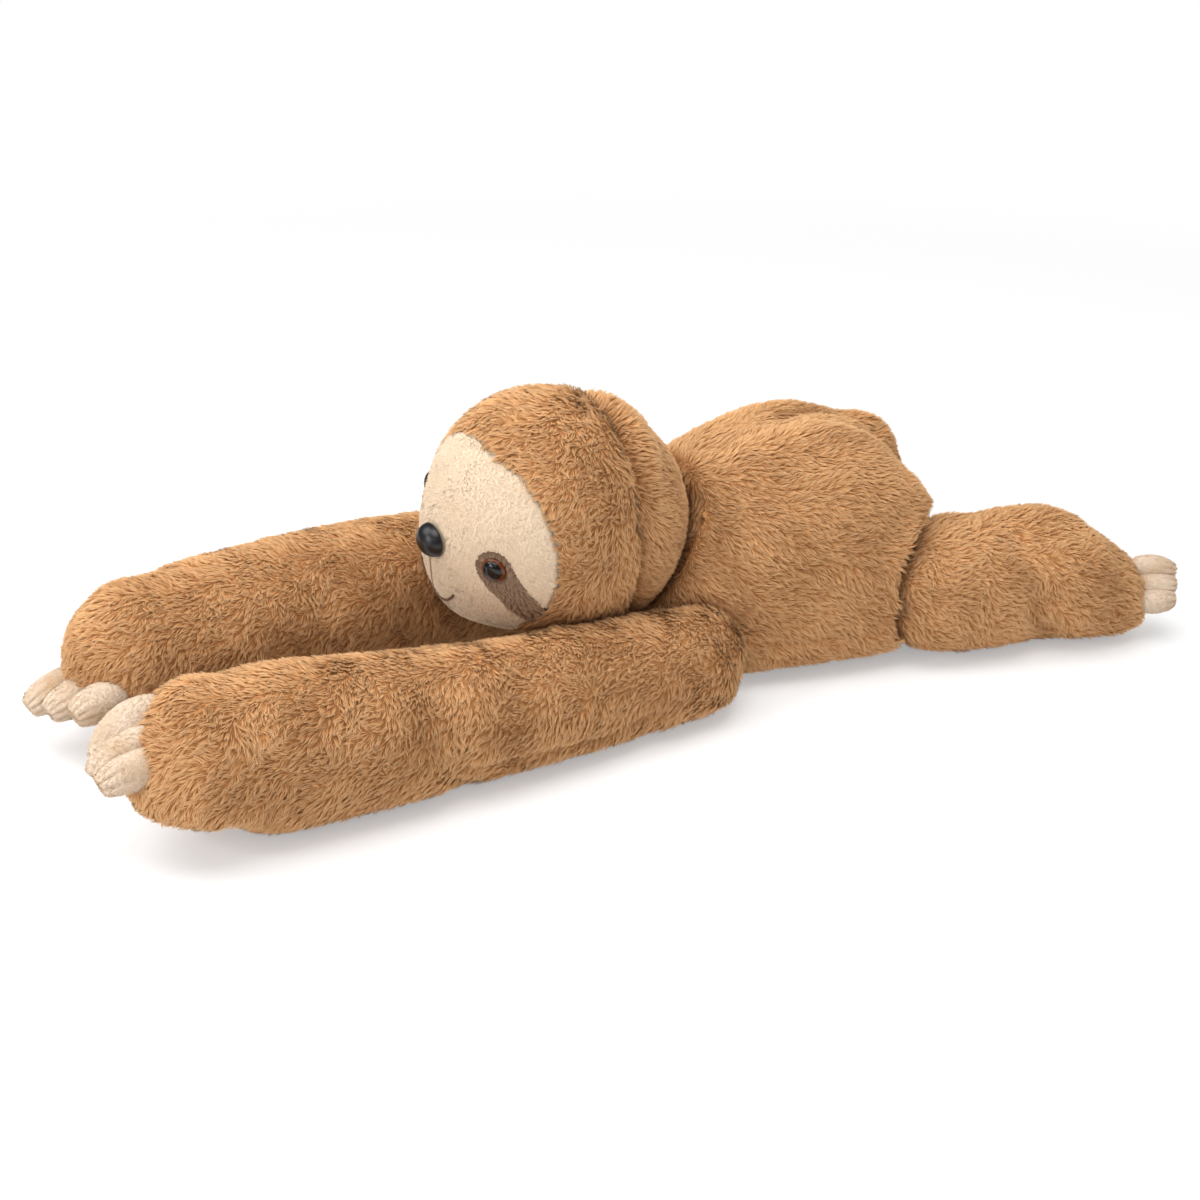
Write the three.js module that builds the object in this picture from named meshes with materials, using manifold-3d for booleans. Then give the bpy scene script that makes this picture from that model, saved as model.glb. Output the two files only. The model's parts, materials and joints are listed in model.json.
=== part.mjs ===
// Plush sloth lying on its belly, arms stretched ahead, legs trailing behind.
// Millimetres, +Z up, the face looks towards -Y and the toy's left side is +X.
import * as THREE from 'three';
import { mergeVertices } from 'three/addons/utils/BufferGeometryUtils.js';
import Module from 'manifold-3d';

const wasm = await Module();
wasm.setup();

// Fabric and clearances
const FABRIC = 6;
const PILE_STEP = 2.5;
const SEAM_GAP = 0.3;
const JOINT_CLEARANCE = 0.5;
const FLOOR_CUT = 0.5;

// Torso, from the throat to the rump
const TORSO_LENGTH = 232;
const TORSO_HALF_WIDTH = 101;
const TORSO_HEIGHT = 163;
const TORSO_EQUATOR = 50;
const BELLY_SEAM_HEIGHT = 22;
const SPINE_CREASE_DEPTH = 10;
const SPINE_CREASE_WIDTH = 12;
const FAR_RUMP_LIFT = 22;
const FAR_RUMP_REACH = 26;
const FAR_RUMP_X = -36;
const FAR_RUMP_WIDTH = 34;
const TORSO_AROUND = 24;
const TORSO_LINING_AROUND = 12;
const BACK_FULLNESS = 2.15;
const BELLY_FULLNESS = 3.8;
const torsoStationShares = [0, 0.05, 0.13, 0.23, 0.34, 0.46, 0.58, 0.7, 0.8, 0.89, 0.95, 0.985, 1];
const torsoWidthShares = [0.26, 0.42, 0.58, 0.69, 0.78, 0.87, 0.95, 1, 0.97, 0.86, 0.69, 0.48, 0.28];
const torsoTopShares = [0.55, 0.75, 0.86, 0.92, 0.96, 0.99, 1, 0.96, 0.87, 0.74, 0.61, 0.5, 0.43];
const torsoBottomShares = [0.16, 0.06, 0.01, 0, 0, 0, 0, 0, 0, 0.01, 0.05, 0.12, 0.18];
const torsoCreaseShares = [0, 0, 0.1, 0.3, 0.6, 0.9, 1, 1, 1, 0.8, 0.5, 0.2, 0];
const farRumpLiftShares = [0, 0, 0, 0, 0, 0, 0, 0.1, 0.28, 0.55, 0.85, 1, 0.9];
const farRumpReachShares = [0, 0, 0, 0, 0, 0, 0, 0.1, 0.3, 0.6, 0.85, 1, 1];

// Head: a ball with a low muzzle, and the soft roll of fur behind it
const HEAD_HALF_WIDTH = 77;
const HEAD_HALF_DEPTH = 74;
const HEAD_HALF_HEIGHT = 78;
const HEAD_HEIGHT = 125;
const HEAD_AHEAD_OF_THROAT = 54;
const HEAD_ROLL_DEG = 18;
const HEAD_TURN_DEG = 4;
const MUZZLE_LIFT = 7;
const MUZZLE_BELOW_FRONT_DEG = 24;
const MUZZLE_SPREAD_DEG = 34;
const NECK_ROLL_HALF_WIDTH = 66;
const NECK_ROLL_RADIUS = 74;
const NECK_HEIGHT = 114;
const NECK_AHEAD_OF_THROAT = 32;
const ROLL_SEAM_SHARE = 0.5;
const HEAD_FACETING = 4;
const HEAD_LINING_FACETING = 2;
const NECK_AROUND = 18;
const NECK_LINING_AROUND = 10;

// Face panel and what is set in it
const FACE_HALF_WIDTH = 70;
const FACE_HALF_HEIGHT = 70;
const FACE_BELOW_FRONT_DEG = 14;
const FACE_AROUND = 24;
const EYE_FROM_FRONT_DEG = 38;
const EYE_CLOCK_DEG = 88;
const EYE_RADIUS = 7.6;
const EYE_DOME = 4.4;
const BUTTON_RIM_SHARE = 0.92;
const PUPIL_RADIUS = 5.6;
const PUPIL_DOME = 2;
const PUPIL_SEAT_SHARE = 0.62;
const PUPIL_EDGE = 1.4;
const PATCH_RADIUS = 12.5;
const PATCH_TIP_RADIUS = 5;
const PATCH_LENGTH = 43;
const PATCH_FALL_DEG = 47;
const PATCH_END_STEPS = 5;
const NOSE_HALF_WIDTH = 13;
const NOSE_HALF_HEIGHT = 11.5;
const NOSE_DOME = 11;
const NOSE_BELOW_FRONT_DEG = 2;
const SHANK_RADIUS = 2.2;
const SHANK_LENGTH = 12.5;
const WASHER_RADIUS = 8.5;
const WASHER_THICKNESS = 1.6;
const EYE_WASHER_DEPTH = 6;
const NOSE_WASHER_DEPTH = 8.4;
const EYE_SINK = 2.6;
const BUTTON_AROUND = 12;
const DOME_STEPS = 3;

// Mouth stitches
const THREAD_RADIUS = 0.7;
const THREAD_AROUND = 6;
const THREAD_STEPS = 6;
const PHILTRUM_TOP_DEG = 14;
const PHILTRUM_BOTTOM_DEG = 34;
const SMILE_DROP_DEG = 1.6;
const SMILE_SPREAD_DEG = 17;
const SMILE_RISE_DEG = 3;
const philtrumShares = [0, 0.5, 1];
const smileShares = [-1, -0.5, 0, 0.5, 1];

// Arms, from the shoulder ball to the hand
const SHOULDER_X = 72;
const SHOULDER_BEHIND_THROAT = 14;
const SHOULDER_RADIUS = 36;
const SHOULDER_HALF_HEIGHT = 36.5;
const ARM_REACH = 348;
const ARM_HALF_WIDTH = 50;
const ARM_HALF_HEIGHT = 52.5;
const HAND_CAP = 76;
const ARM_SEAM_HEIGHT = 15;
const NEAR_HAND_INSET = 16;
const FAR_ARM_BOW = 22;
const nearArmGrowthShares = [0, 0.1, 0.24, 0.4, 0.58, 0.78, 0.92, 0.82];
const farArmGrowthShares = [0, 0.42, 0.8, 0.95, 1, 1, 1, 1];
const nearArmDriftShares = [0, -0.1, -0.1, 0.1, 0.45, 0.95];
const farArmDriftShares = [0, 0.55, 1, 0.85, 0.7, 0.45, 0.2, 0];

// Legs, from the hip ball to the foot
const HIP_X = 77;
const HIP_FROM_THROAT = 202;
const HIP_RADIUS = 50;
const HIP_HALF_HEIGHT = 49;
const LEG_REACH = 141;
const FOOT_HALF_WIDTH = 26;
const FOOT_HALF_HEIGHT = 26;
const FOOT_CAP = 16;
const FOOT_OFFSET = 50;
const LEG_SEAM_HEIGHT = 14;
const FAR_LEG_SWING_DEG = 14;
const legGrowthShares = [0, 0.03, 0.08, 0.12, 0.16, 0.24, 0.42, 0.72, 1];
const legDriftShares = [0, 0.2, 0.38, 0.7, 1];

// Limb faceting
const LIMB_AROUND = 16;
const LIMB_LINING_AROUND = 10;
const CAP_STEPS = 3;
const ARM_STEPS = 8;
const LEG_STEPS = 6;
const SOCKET_AROUND = 16;
const SOCKET_LINING_AROUND = 8;
const STUB_AROUND = 12;
const SLOPE_STEP_SHARE = 0.02;

// Claws of the hands and toes of the feet
const CLAWS = 3;
const CLAW_RADIUS = 13.5;
const CLAW_LENGTH = 54;
const CLAW_SINK = 24;
const CLAW_DROOP = 4;
const NEAR_CLAW_HEIGHT = 72;
const NEAR_CLAW_TILT_DEG = 39;
const NEAR_CLAW_SPACING = 18;
const FAR_CLAW_HEIGHT = 38;
const FAR_CLAW_TILT_DEG = 8;
const FAR_CLAW_SPACING = 23;
const TOE_RADIUS = 10;
const TOE_LENGTH = 35;
const TOE_SPACING = 11;
const TOE_SINK = 20;
const TOE_HEIGHT = 39;
const TOE_TILT_DEG = 55;
const CLAW_AROUND = 8;
const CLAW_STEPS = 5;
const CLAW_FULLNESS = 0.6;
const nearClawLengthShares = [1, 0.94, 0.84];
const farClawLengthShares = [1, 0.96, 0.88];
const toeLengthShares = [1, 0.97, 0.9];

const THROAT_Y = -TORSO_LENGTH / 2;
const CUT_REACH = 2 * (TORSO_LENGTH + ARM_REACH);
const EQUATOR_SHARE = 1 / 3;
const PATCH_ROOT_SHARE = 1 / 3;

const fur = new THREE.MeshStandardMaterial({ color: 0xc08a55, roughness: 0.95, metalness: 0 });
const facePlush = new THREE.MeshStandardMaterial({ color: 0xecd2a8, roughness: 0.9, metalness: 0 });
const patchPlush = new THREE.MeshStandardMaterial({ color: 0x7d6450, roughness: 0.92, metalness: 0 });
const clawPlush = new THREE.MeshStandardMaterial({ color: 0xf0ddbf, roughness: 0.9, metalness: 0 });
const fibrefill = new THREE.MeshStandardMaterial({ color: 0xf4f2ec, roughness: 1, metalness: 0 });
const blackPlastic = new THREE.MeshStandardMaterial({ color: 0x0b0a0a, roughness: 0.12, metalness: 0 });
const brownPlastic = new THREE.MeshStandardMaterial({ color: 0x5a2d12, roughness: 0.15, metalness: 0 });
const clearPlastic = new THREE.MeshStandardMaterial({ color: 0xdedbd2, roughness: 0.4, metalness: 0 });
const thread = new THREE.MeshStandardMaterial({ color: 0x9b6b3f, roughness: 0.8, metalness: 0 });

const radians = THREE.MathUtils.degToRad;
const { lerp } = THREE.MathUtils;
const up = new THREE.Vector3(0, 0, 1);
const leftward = new THREE.Vector3(1, 0, 0);
const rightward = new THREE.Vector3(-1, 0, 0);
const part = new THREE.Group();

// Solids and meshes

function weld(geometry) {
  const bare = geometry.clone();
  bare.deleteAttribute('normal');
  bare.deleteAttribute('uv');
  return mergeVertices(bare);
}

// Turns a closed surface right side out
function facingOut(geometry) {
  const { position } = geometry.attributes;
  const index = Array.from(geometry.index.array);
  const corners = [new THREE.Vector3(), new THREE.Vector3(), new THREE.Vector3()];
  let volume = 0;
  for (let i = 0; i < index.length; i += 3) {
    corners.forEach((corner, k) => corner.fromBufferAttribute(position, index[i + k]));
    volume += corners[0].dot(corners[1].clone().cross(corners[2]));
  }
  if (volume < 0) {
    geometry.setIndex(index.reverse());
  }
  return geometry;
}

function solid(geometry) {
  const closed = facingOut(weld(geometry));
  const mesh = new wasm.Mesh({
    numProp: 3,
    vertProperties: new Float32Array(closed.attributes.position.array),
    triVerts: new Uint32Array(closed.index.array),
  });
  return new wasm.Manifold(mesh);
}

function addPiece(name, body, material) {
  const { vertProperties, triVerts } = body.getMesh();
  const geometry = new THREE.BufferGeometry();
  geometry.setAttribute('position', new THREE.BufferAttribute(new Float32Array(vertProperties), 3));
  geometry.setIndex(new THREE.BufferAttribute(new Uint32Array(triVerts), 1));
  geometry.computeVertexNormals();
  const mesh = new THREE.Mesh(geometry, material);
  mesh.name = name;
  part.add(mesh);
}

// All the space beyond a plane, along its normal
function halfSpace(normal, offset) {
  const block = new THREE.BoxGeometry(CUT_REACH * 2, CUT_REACH * 2, CUT_REACH * 2);
  block.translate(0, 0, CUT_REACH + offset);
  block.applyQuaternion(new THREE.Quaternion().setFromUnitVectors(up, normal));
  return solid(block);
}

const aboveFloor = halfSpace(up, 0);

function middleOf(ring) {
  const centre = new THREE.Vector3();
  ring.forEach((point) => centre.add(point));
  return centre.divideScalar(ring.length);
}

// A closed skin over rings of equal count, drawn together at a pole on either end
function loft(rings, startPole, endPole) {
  const around = rings[0].length;
  const points = [startPole, ...rings.flat(), endPole];
  const last = points.length - 1;
  const index = [];
  for (let i = 0; i < around; i += 1) {
    const j = (i + 1) % around;
    index.push(0, 1 + j, 1 + i);
    index.push(last, last - around + i, last - around + j);
    for (let k = 0; k + 1 < rings.length; k += 1) {
      const here = 1 + k * around;
      const next = here + around;
      index.push(here + i, here + j, next + j, here + i, next + j, next + i);
    }
  }
  const geometry = new THREE.BufferGeometry().setFromPoints(points);
  geometry.setIndex(index);
  return geometry;
}

// A smooth curve through evenly spaced shares
function smoothShare(shares, t) {
  const place = THREE.MathUtils.clamp(t, 0, 1) * (shares.length - 1);
  const i = Math.min(Math.floor(place), shares.length - 2);
  const f = place - i;
  const before = shares[Math.max(i - 1, 0)];
  const after = shares[Math.min(i + 2, shares.length - 1)];
  const slopeIn = (shares[i + 1] - before) / 2;
  const slopeOut = (after - shares[i]) / 2;
  const rise = shares[i + 1] - shares[i];
  const bend = 3 * rise - 2 * slopeIn - slopeOut;
  const twist = slopeIn + slopeOut - 2 * rise;
  return shares[i] + f * (slopeIn + f * (bend + f * twist));
}

function signedPower(value, power) {
  return Math.sign(value) * Math.abs(value) ** power;
}

// Torso: boxy low sides, a rounder back and a crease along the spine

function torsoRing(station, k, around, inset) {
  const y = THROAT_Y + inset + station * (TORSO_LENGTH - 2 * inset);
  const halfWidth = torsoWidthShares[k] * TORSO_HALF_WIDTH - inset;
  const top = torsoTopShares[k] * TORSO_HEIGHT - inset;
  const bottom = torsoBottomShares[k] * TORSO_HEIGHT - FLOOR_CUT + inset;
  const equator = Math.max(TORSO_EQUATOR, (top + bottom) * EQUATOR_SHARE);
  const ring = [];
  for (let i = 0; i < around; i += 1) {
    const angle = (2 * Math.PI * i) / around;
    const above = Math.sin(angle) >= 0;
    const roundness = 2 / (above ? BACK_FULLNESS : BELLY_FULLNESS);
    const x = halfWidth * signedPower(Math.cos(angle), roundness);
    const reach = above ? top - equator : equator - bottom;
    const nearSpine = Math.exp(-((x / SPINE_CREASE_WIDTH) ** 2));
    const crease = above ? SPINE_CREASE_DEPTH * torsoCreaseShares[k] * nearSpine : 0;
    const onFarRump = above ? Math.exp(-(((x - FAR_RUMP_X) / FAR_RUMP_WIDTH) ** 2)) : 0;
    const lift = FAR_RUMP_LIFT * farRumpLiftShares[k] * onFarRump;
    const height = (reach + lift) * signedPower(Math.sin(angle), roundness);
    const pushed = y + FAR_RUMP_REACH * farRumpReachShares[k] * onFarRump * Math.sin(angle);
    ring.push(new THREE.Vector3(x, pushed, equator + height - crease));
  }
  return ring;
}

// The lining has every second ring of the outside
function torsoForm(around, inset) {
  const rings = torsoStationShares.map((station, k) => torsoRing(station, k, around, inset));
  const kept = inset > 0 ? rings.filter((ring, k) => k % 2 === 0) : rings;
  return solid(loft(kept, middleOf(kept[0]), middleOf(kept.at(-1))));
}

// Limbs: each runs along +Y from a round joint ball to a soft cap, and is then placed

function limbSection(limb, ahead, inset) {
  const t = Math.max(ahead, 0) / limb.reach;
  const growth = smoothShare(limb.growthShares, t);
  const drift = limb.drift * smoothShare(limb.driftShares, t);
  const driftBeyond = limb.drift * smoothShare(limb.driftShares, t + SLOPE_STEP_SHARE);
  const turn = Math.atan2(driftBeyond - drift, limb.reach * SLOPE_STEP_SHARE);
  return {
    halfWidth: lerp(limb.rootHalfWidth, limb.tipHalfWidth, growth) - inset,
    halfHeight: lerp(limb.rootHalfHeight, limb.tipHalfHeight, growth) - inset,
    middleHeight: lerp(limb.rootHalfHeight, limb.tipHalfHeight, growth) - FLOOR_CUT,
    drift,
    turn: ahead > 0 ? turn : 0,
  };
}

function limbRing(limb, ahead, narrow, inset, around) {
  const section = limbSection(limb, ahead, inset);
  const ring = [];
  for (let i = 0; i < around; i += 1) {
    const angle = (2 * Math.PI * i) / around;
    const across = section.halfWidth * narrow * Math.cos(angle);
    const x = section.drift + across * Math.cos(section.turn);
    const y = ahead - across * Math.sin(section.turn);
    const z = section.middleHeight + section.halfHeight * narrow * Math.sin(angle);
    ring.push(new THREE.Vector3(x, y, z));
  }
  return ring;
}

function limbForm(limb, inset, around, steps) {
  const ballRadius = limb.rootHalfWidth - inset;
  const capLength = limb.cap - inset;
  const reach = limb.reach - inset;
  const rings = [];
  for (let k = 1; k <= CAP_STEPS; k += 1) {
    const angle = (Math.PI / 2) * (k / CAP_STEPS);
    rings.push(limbRing(limb, -ballRadius * Math.cos(angle), Math.sin(angle), inset, around));
  }
  for (let k = 1; k <= steps; k += 1) {
    rings.push(limbRing(limb, ((reach - capLength) * k) / steps, 1, inset, around));
  }
  for (let k = 1; k < CAP_STEPS; k += 1) {
    const angle = (Math.PI / 2) * (k / CAP_STEPS);
    const ahead = reach - capLength * (1 - Math.sin(angle));
    rings.push(limbRing(limb, ahead, Math.cos(angle), inset, around));
  }
  const startPole = new THREE.Vector3(0, -ballRadius, limb.rootHalfHeight - FLOOR_CUT);
  const endPole = middleOf(rings.at(-1));
  endPole.y = reach;
  return loft(rings, startPole, endPole);
}

function placeLimb(geometry, limb, swingDeg = limb.restSwingDeg) {
  const placed = geometry.clone();
  placed.scale(limb.side, limb.forward ? -1 : 1, 1);
  placed.rotateZ(radians(swingDeg) * limb.side * (limb.forward ? 1 : -1));
  placed.translate(limb.side * limb.rootX, limb.rootY, 0);
  return solid(placed);
}

function limbBody(limb, inset, around, steps) {
  return placeLimb(limbForm(limb, inset, around, steps), limb);
}

// The room of a limb's joint ball and of the stretch beside it at its innermost swing
function limbRoom(limb, clearance, around) {
  const spread = 1 / Math.cos(Math.PI / around) ** 2;
  const radius = (limb.rootHalfWidth + clearance) * spread;
  const ball = new THREE.SphereGeometry(1, around, around / 2);
  ball.rotateX(Math.PI / 2);
  ball.scale(radius, radius, (limb.rootHalfHeight + clearance) * spread);
  ball.translate(limb.side * limb.rootX, limb.rootY, limb.rootHalfHeight - FLOOR_CUT);
  const slack = limb.rootHalfWidth * (1 / Math.cos(Math.PI / STUB_AROUND) - 1);
  const stub = limbForm(limb, -clearance - slack, STUB_AROUND, limb.steps);
  return solid(ball).add(placeLimb(stub, limb, 0));
}

// The head rests on the arms, so they are pressed in where it lies
function makeLimb(limb) {
  const inside = (inset) => {
    const body = limbBody(limb, inset, LIMB_LINING_AROUND, limb.steps / 2);
    return body.subtract(headRoom(inset));
  };
  const outside = limbBody(limb, 0, LIMB_AROUND, limb.steps).subtract(headRoom(0));
  const shell = outside.intersect(aboveFloor).subtract(inside(FABRIC));
  const aboveSeam = halfSpace(up, limb.seamHeight + SEAM_GAP / 2);
  const fromSeamUp = halfSpace(up, limb.seamHeight - SEAM_GAP / 2);
  addPiece(`${limb.name}_upper_panel`, shell.intersect(aboveSeam), fur);
  addPiece(`${limb.name}_under_panel`, shell.subtract(fromSeamUp), fur);
  addPiece(`${limb.name}_stuffing`, inside(FABRIC + SEAM_GAP), fibrefill);
}

const armPattern = {
  forward: true,
  rootX: SHOULDER_X,
  rootY: THROAT_Y + SHOULDER_BEHIND_THROAT,
  rootHalfWidth: SHOULDER_RADIUS,
  rootHalfHeight: SHOULDER_HALF_HEIGHT,
  tipHalfWidth: ARM_HALF_WIDTH,
  tipHalfHeight: ARM_HALF_HEIGHT,
  reach: ARM_REACH,
  cap: HAND_CAP,
  seamHeight: ARM_SEAM_HEIGHT,
  steps: ARM_STEPS,
  restSwingDeg: 0,
};

const legPattern = {
  forward: false,
  rootX: HIP_X,
  rootY: THROAT_Y + HIP_FROM_THROAT,
  rootHalfWidth: HIP_RADIUS,
  rootHalfHeight: HIP_HALF_HEIGHT,
  tipHalfWidth: FOOT_HALF_WIDTH,
  tipHalfHeight: FOOT_HALF_HEIGHT,
  reach: LEG_REACH,
  cap: FOOT_CAP,
  drift: FOOT_OFFSET,
  growthShares: legGrowthShares,
  driftShares: legDriftShares,
  seamHeight: LEG_SEAM_HEIGHT,
  steps: LEG_STEPS,
};

const leftArm = {
  ...armPattern,
  name: 'arm_left',
  side: 1,
  drift: -NEAR_HAND_INSET,
  growthShares: nearArmGrowthShares,
  driftShares: nearArmDriftShares,
};

const rightArm = {
  ...armPattern,
  name: 'arm_right',
  side: -1,
  drift: FAR_ARM_BOW,
  growthShares: farArmGrowthShares,
  driftShares: farArmDriftShares,
};

const leftLeg = { ...legPattern, name: 'leg_left', side: 1, restSwingDeg: 0 };
const rightLeg = { ...legPattern, name: 'leg_right', side: -1, restSwingDeg: FAR_LEG_SWING_DEG };

// Claws and toes: soft lobes in a row, their roots cut to the hand or foot that holds them

function lobeForm(radius, length, droop) {
  const rings = [];
  for (let k = 1; k <= CLAW_STEPS; k += 1) {
    const along = (Math.PI * k) / (CLAW_STEPS + 1);
    const ahead = (length / 2) * (1 - Math.cos(along));
    const girth = radius * Math.sin(along) ** CLAW_FULLNESS;
    const drop = droop * (ahead / length) ** 2;
    const ring = [];
    for (let i = 0; i < CLAW_AROUND; i += 1) {
      const angle = (2 * Math.PI * i) / CLAW_AROUND;
      ring.push(new THREE.Vector3(girth * Math.cos(angle), ahead, girth * Math.sin(angle) - drop));
    }
    rings.push(ring);
  }
  return loft(rings, new THREE.Vector3(0, 0, 0), new THREE.Vector3(0, length, -droop));
}

function lobeAtTip(limb, digits, i, grow) {
  const offset = (i - (CLAWS - 1) / 2) * digits.spacing;
  const form = lobeForm(digits.radius + grow, digits.length * digits.lengthShares[i] + grow, digits.droop);
  const tilt = radians(digits.tiltDeg);
  const tip = limbSection(limb, limb.reach - limb.cap, 0);
  form.translate(offset * Math.cos(tilt), 0, -offset * Math.sin(tilt));
  form.rotateZ(-tip.turn);
  form.translate(limb.drift * limb.driftShares.at(-1), limb.reach - digits.sink, digits.height);
  return placeLimb(form, limb);
}

function makeDigits(limb, digits) {
  let taken = limbBody(limb, -SEAM_GAP, LIMB_AROUND, limb.steps);
  for (let i = 0; i < CLAWS; i += 1) {
    const lobe = lobeAtTip(limb, digits, i, 0).subtract(taken).intersect(aboveFloor);
    addPiece(`${limb.name}_${digits.word}_${i + 1}`, lobe, clawPlush);
    taken = taken.add(lobeAtTip(limb, digits, i, SEAM_GAP));
  }
}

const clawPattern = {
  word: 'claw',
  radius: CLAW_RADIUS,
  length: CLAW_LENGTH,
  sink: CLAW_SINK,
  droop: CLAW_DROOP,
};
const leftClaws = {
  ...clawPattern,
  lengthShares: nearClawLengthShares,
  spacing: NEAR_CLAW_SPACING,
  height: NEAR_CLAW_HEIGHT,
  tiltDeg: NEAR_CLAW_TILT_DEG,
};
const rightClaws = {
  ...clawPattern,
  lengthShares: farClawLengthShares,
  spacing: FAR_CLAW_SPACING,
  height: FAR_CLAW_HEIGHT,
  tiltDeg: FAR_CLAW_TILT_DEG,
};
const toes = {
  word: 'toe',
  radius: TOE_RADIUS,
  length: TOE_LENGTH,
  lengthShares: toeLengthShares,
  spacing: TOE_SPACING,
  sink: TOE_SINK,
  droop: 0,
  height: TOE_HEIGHT,
  tiltDeg: TOE_TILT_DEG,
};

// Head: directions are told from the face, by the angle off its front and a clock angle

const headCentre = new THREE.Vector3(0, THROAT_Y - HEAD_AHEAD_OF_THROAT, HEAD_HEIGHT);
const neckCentre = new THREE.Vector3(0, THROAT_Y - NECK_AHEAD_OF_THROAT, NECK_HEIGHT);
const faceFront = new THREE.Vector3(0, -1, 0).applyAxisAngle(up, radians(HEAD_TURN_DEG));
const faceUp = up.clone().applyAxisAngle(faceFront, -radians(HEAD_ROLL_DEG));
const faceLeft = new THREE.Vector3().crossVectors(faceUp, faceFront);

function faceDirection(fromFrontDeg, clockDeg) {
  const aside = Math.sin(radians(fromFrontDeg));
  const direction = faceFront.clone().multiplyScalar(Math.cos(radians(fromFrontDeg)));
  direction.addScaledVector(faceLeft, aside * Math.sin(radians(clockDeg)));
  return direction.addScaledVector(faceUp, aside * Math.cos(radians(clockDeg)));
}

const muzzleDirection = faceDirection(MUZZLE_BELOW_FRONT_DEG, 180);
const faceAxis = faceDirection(FACE_BELOW_FRONT_DEG, 180);

function headPoint(direction, inset) {
  const across = direction.dot(faceLeft) / HEAD_HALF_WIDTH;
  const ahead = direction.dot(faceFront) / HEAD_HALF_DEPTH;
  const upwards = direction.dot(faceUp) / HEAD_HALF_HEIGHT;
  const away = direction.angleTo(muzzleDirection) / radians(MUZZLE_SPREAD_DEG);
  const radius = 1 / Math.hypot(across, ahead, upwards) + MUZZLE_LIFT * Math.exp(-(away ** 2)) - inset;
  return direction.clone().multiplyScalar(radius).add(headCentre);
}

function headForm(inset, faceting) {
  const ball = weld(new THREE.IcosahedronGeometry(1, faceting));
  const { position } = ball.attributes;
  const direction = new THREE.Vector3();
  for (let i = 0; i < position.count; i += 1) {
    direction.fromBufferAttribute(position, i).normalize();
    const point = headPoint(direction, inset);
    position.setXYZ(i, point.x, point.y, point.z);
  }
  return solid(ball);
}

function neckRollForm(inset, around) {
  const ball = new THREE.SphereGeometry(1, around, around / 2);
  ball.rotateZ(Math.PI / 2);
  const radius = NECK_ROLL_RADIUS - inset;
  ball.scale(NECK_ROLL_HALF_WIDTH - inset, radius, radius);
  ball.translate(neckCentre.x, neckCentre.y, neckCentre.z);
  return solid(ball);
}

// The space that the head keeps free of its neighbours, thicker by the inset
function headRoom(inset) {
  const clearance = JOINT_CLEARANCE + inset;
  const around = inset > 0 ? NECK_LINING_AROUND : NECK_AROUND;
  const slack = NECK_ROLL_RADIUS * (1 / Math.cos(Math.PI / around) ** 2 - 1);
  const headSlack = HEAD_HALF_WIDTH * (1 / Math.cos(Math.PI / NECK_AROUND) - 1);
  const roll = neckRollForm(-clearance - slack, around);
  return headForm(-clearance - headSlack, HEAD_LINING_FACETING).add(roll);
}

// Axes across, up and out along a direction from the head's middle
function faceBasis(direction) {
  const across = new THREE.Vector3().crossVectors(faceUp, direction).normalize();
  const upright = new THREE.Vector3().crossVectors(direction, across);
  return new THREE.Matrix4().makeBasis(across, upright, direction);
}

// An outline swept outwards from a depth inside the head
function facePrism(outline, direction, from) {
  const options = { depth: CUT_REACH - from, bevelEnabled: false };
  const prism = new THREE.ExtrudeGeometry(new THREE.Shape(outline), options);
  prism.translate(0, 0, from);
  prism.applyMatrix4(faceBasis(direction).setPosition(headCentre));
  return solid(prism);
}

function ovalOutline(halfWidth, halfHeight, around) {
  const outline = [];
  for (let i = 0; i < around; i += 1) {
    const angle = (2 * Math.PI * i) / around;
    outline.push(new THREE.Vector2(halfWidth * Math.cos(angle), halfHeight * Math.sin(angle)));
  }
  return outline;
}

function faceCut(grow) {
  return facePrism(ovalOutline(FACE_HALF_WIDTH + grow, FACE_HALF_HEIGHT + grow, FACE_AROUND), faceAxis, 0);
}

// A drop that starts round the eye and falls outwards to a narrow end
function patchOutline(side, grow) {
  const fall = radians(PATCH_FALL_DEG);
  const axis = new THREE.Vector2(side * Math.cos(fall), -Math.sin(fall));
  const across = new THREE.Vector2(-axis.y, axis.x);
  const outline = [];
  const addEnd = (centre, radius, startAngle) => {
    for (let i = 0; i <= PATCH_END_STEPS; i += 1) {
      const angle = startAngle + (Math.PI * i) / PATCH_END_STEPS;
      const point = axis.clone().multiplyScalar(centre + radius * Math.cos(angle));
      outline.push(point.addScaledVector(across, radius * Math.sin(angle)));
    }
  };
  addEnd(0, PATCH_RADIUS + grow, Math.PI / 2);
  addEnd(PATCH_LENGTH, PATCH_TIP_RADIUS + grow, -Math.PI / 2);
  return outline;
}

// Buttons: a dome with a shank through the fabric, and the washer that locks it inside

function turned(profile, button, squash = 1) {
  const outline = profile.map(([radius, height]) => new THREE.Vector2(radius, height));
  const form = new THREE.LatheGeometry(outline, BUTTON_AROUND);
  form.rotateX(Math.PI / 2);
  form.scale(1, squash, 1);
  form.applyMatrix4(faceBasis(button.direction).setPosition(button.seat));
  return solid(form);
}

function domeProfile(radius, dome, foot) {
  const profile = [];
  for (let i = 0; i <= DOME_STEPS; i += 1) {
    const angle = (Math.PI / 2) * (i / DOME_STEPS);
    profile.push([radius * Math.sin(angle), foot + dome * Math.cos(angle)]);
  }
  return profile;
}

function shankedDome(radius, dome) {
  return [
    ...domeProfile(radius, dome, 2 * SEAM_GAP),
    [radius * BUTTON_RIM_SHARE, SEAM_GAP],
    [SHANK_RADIUS, SEAM_GAP],
    [SHANK_RADIUS, -SHANK_LENGTH],
    [0, -SHANK_LENGTH],
  ];
}

function rod(radius, from, to) {
  return [[0, to], [radius, to], [radius, from], [0, from]];
}

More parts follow.
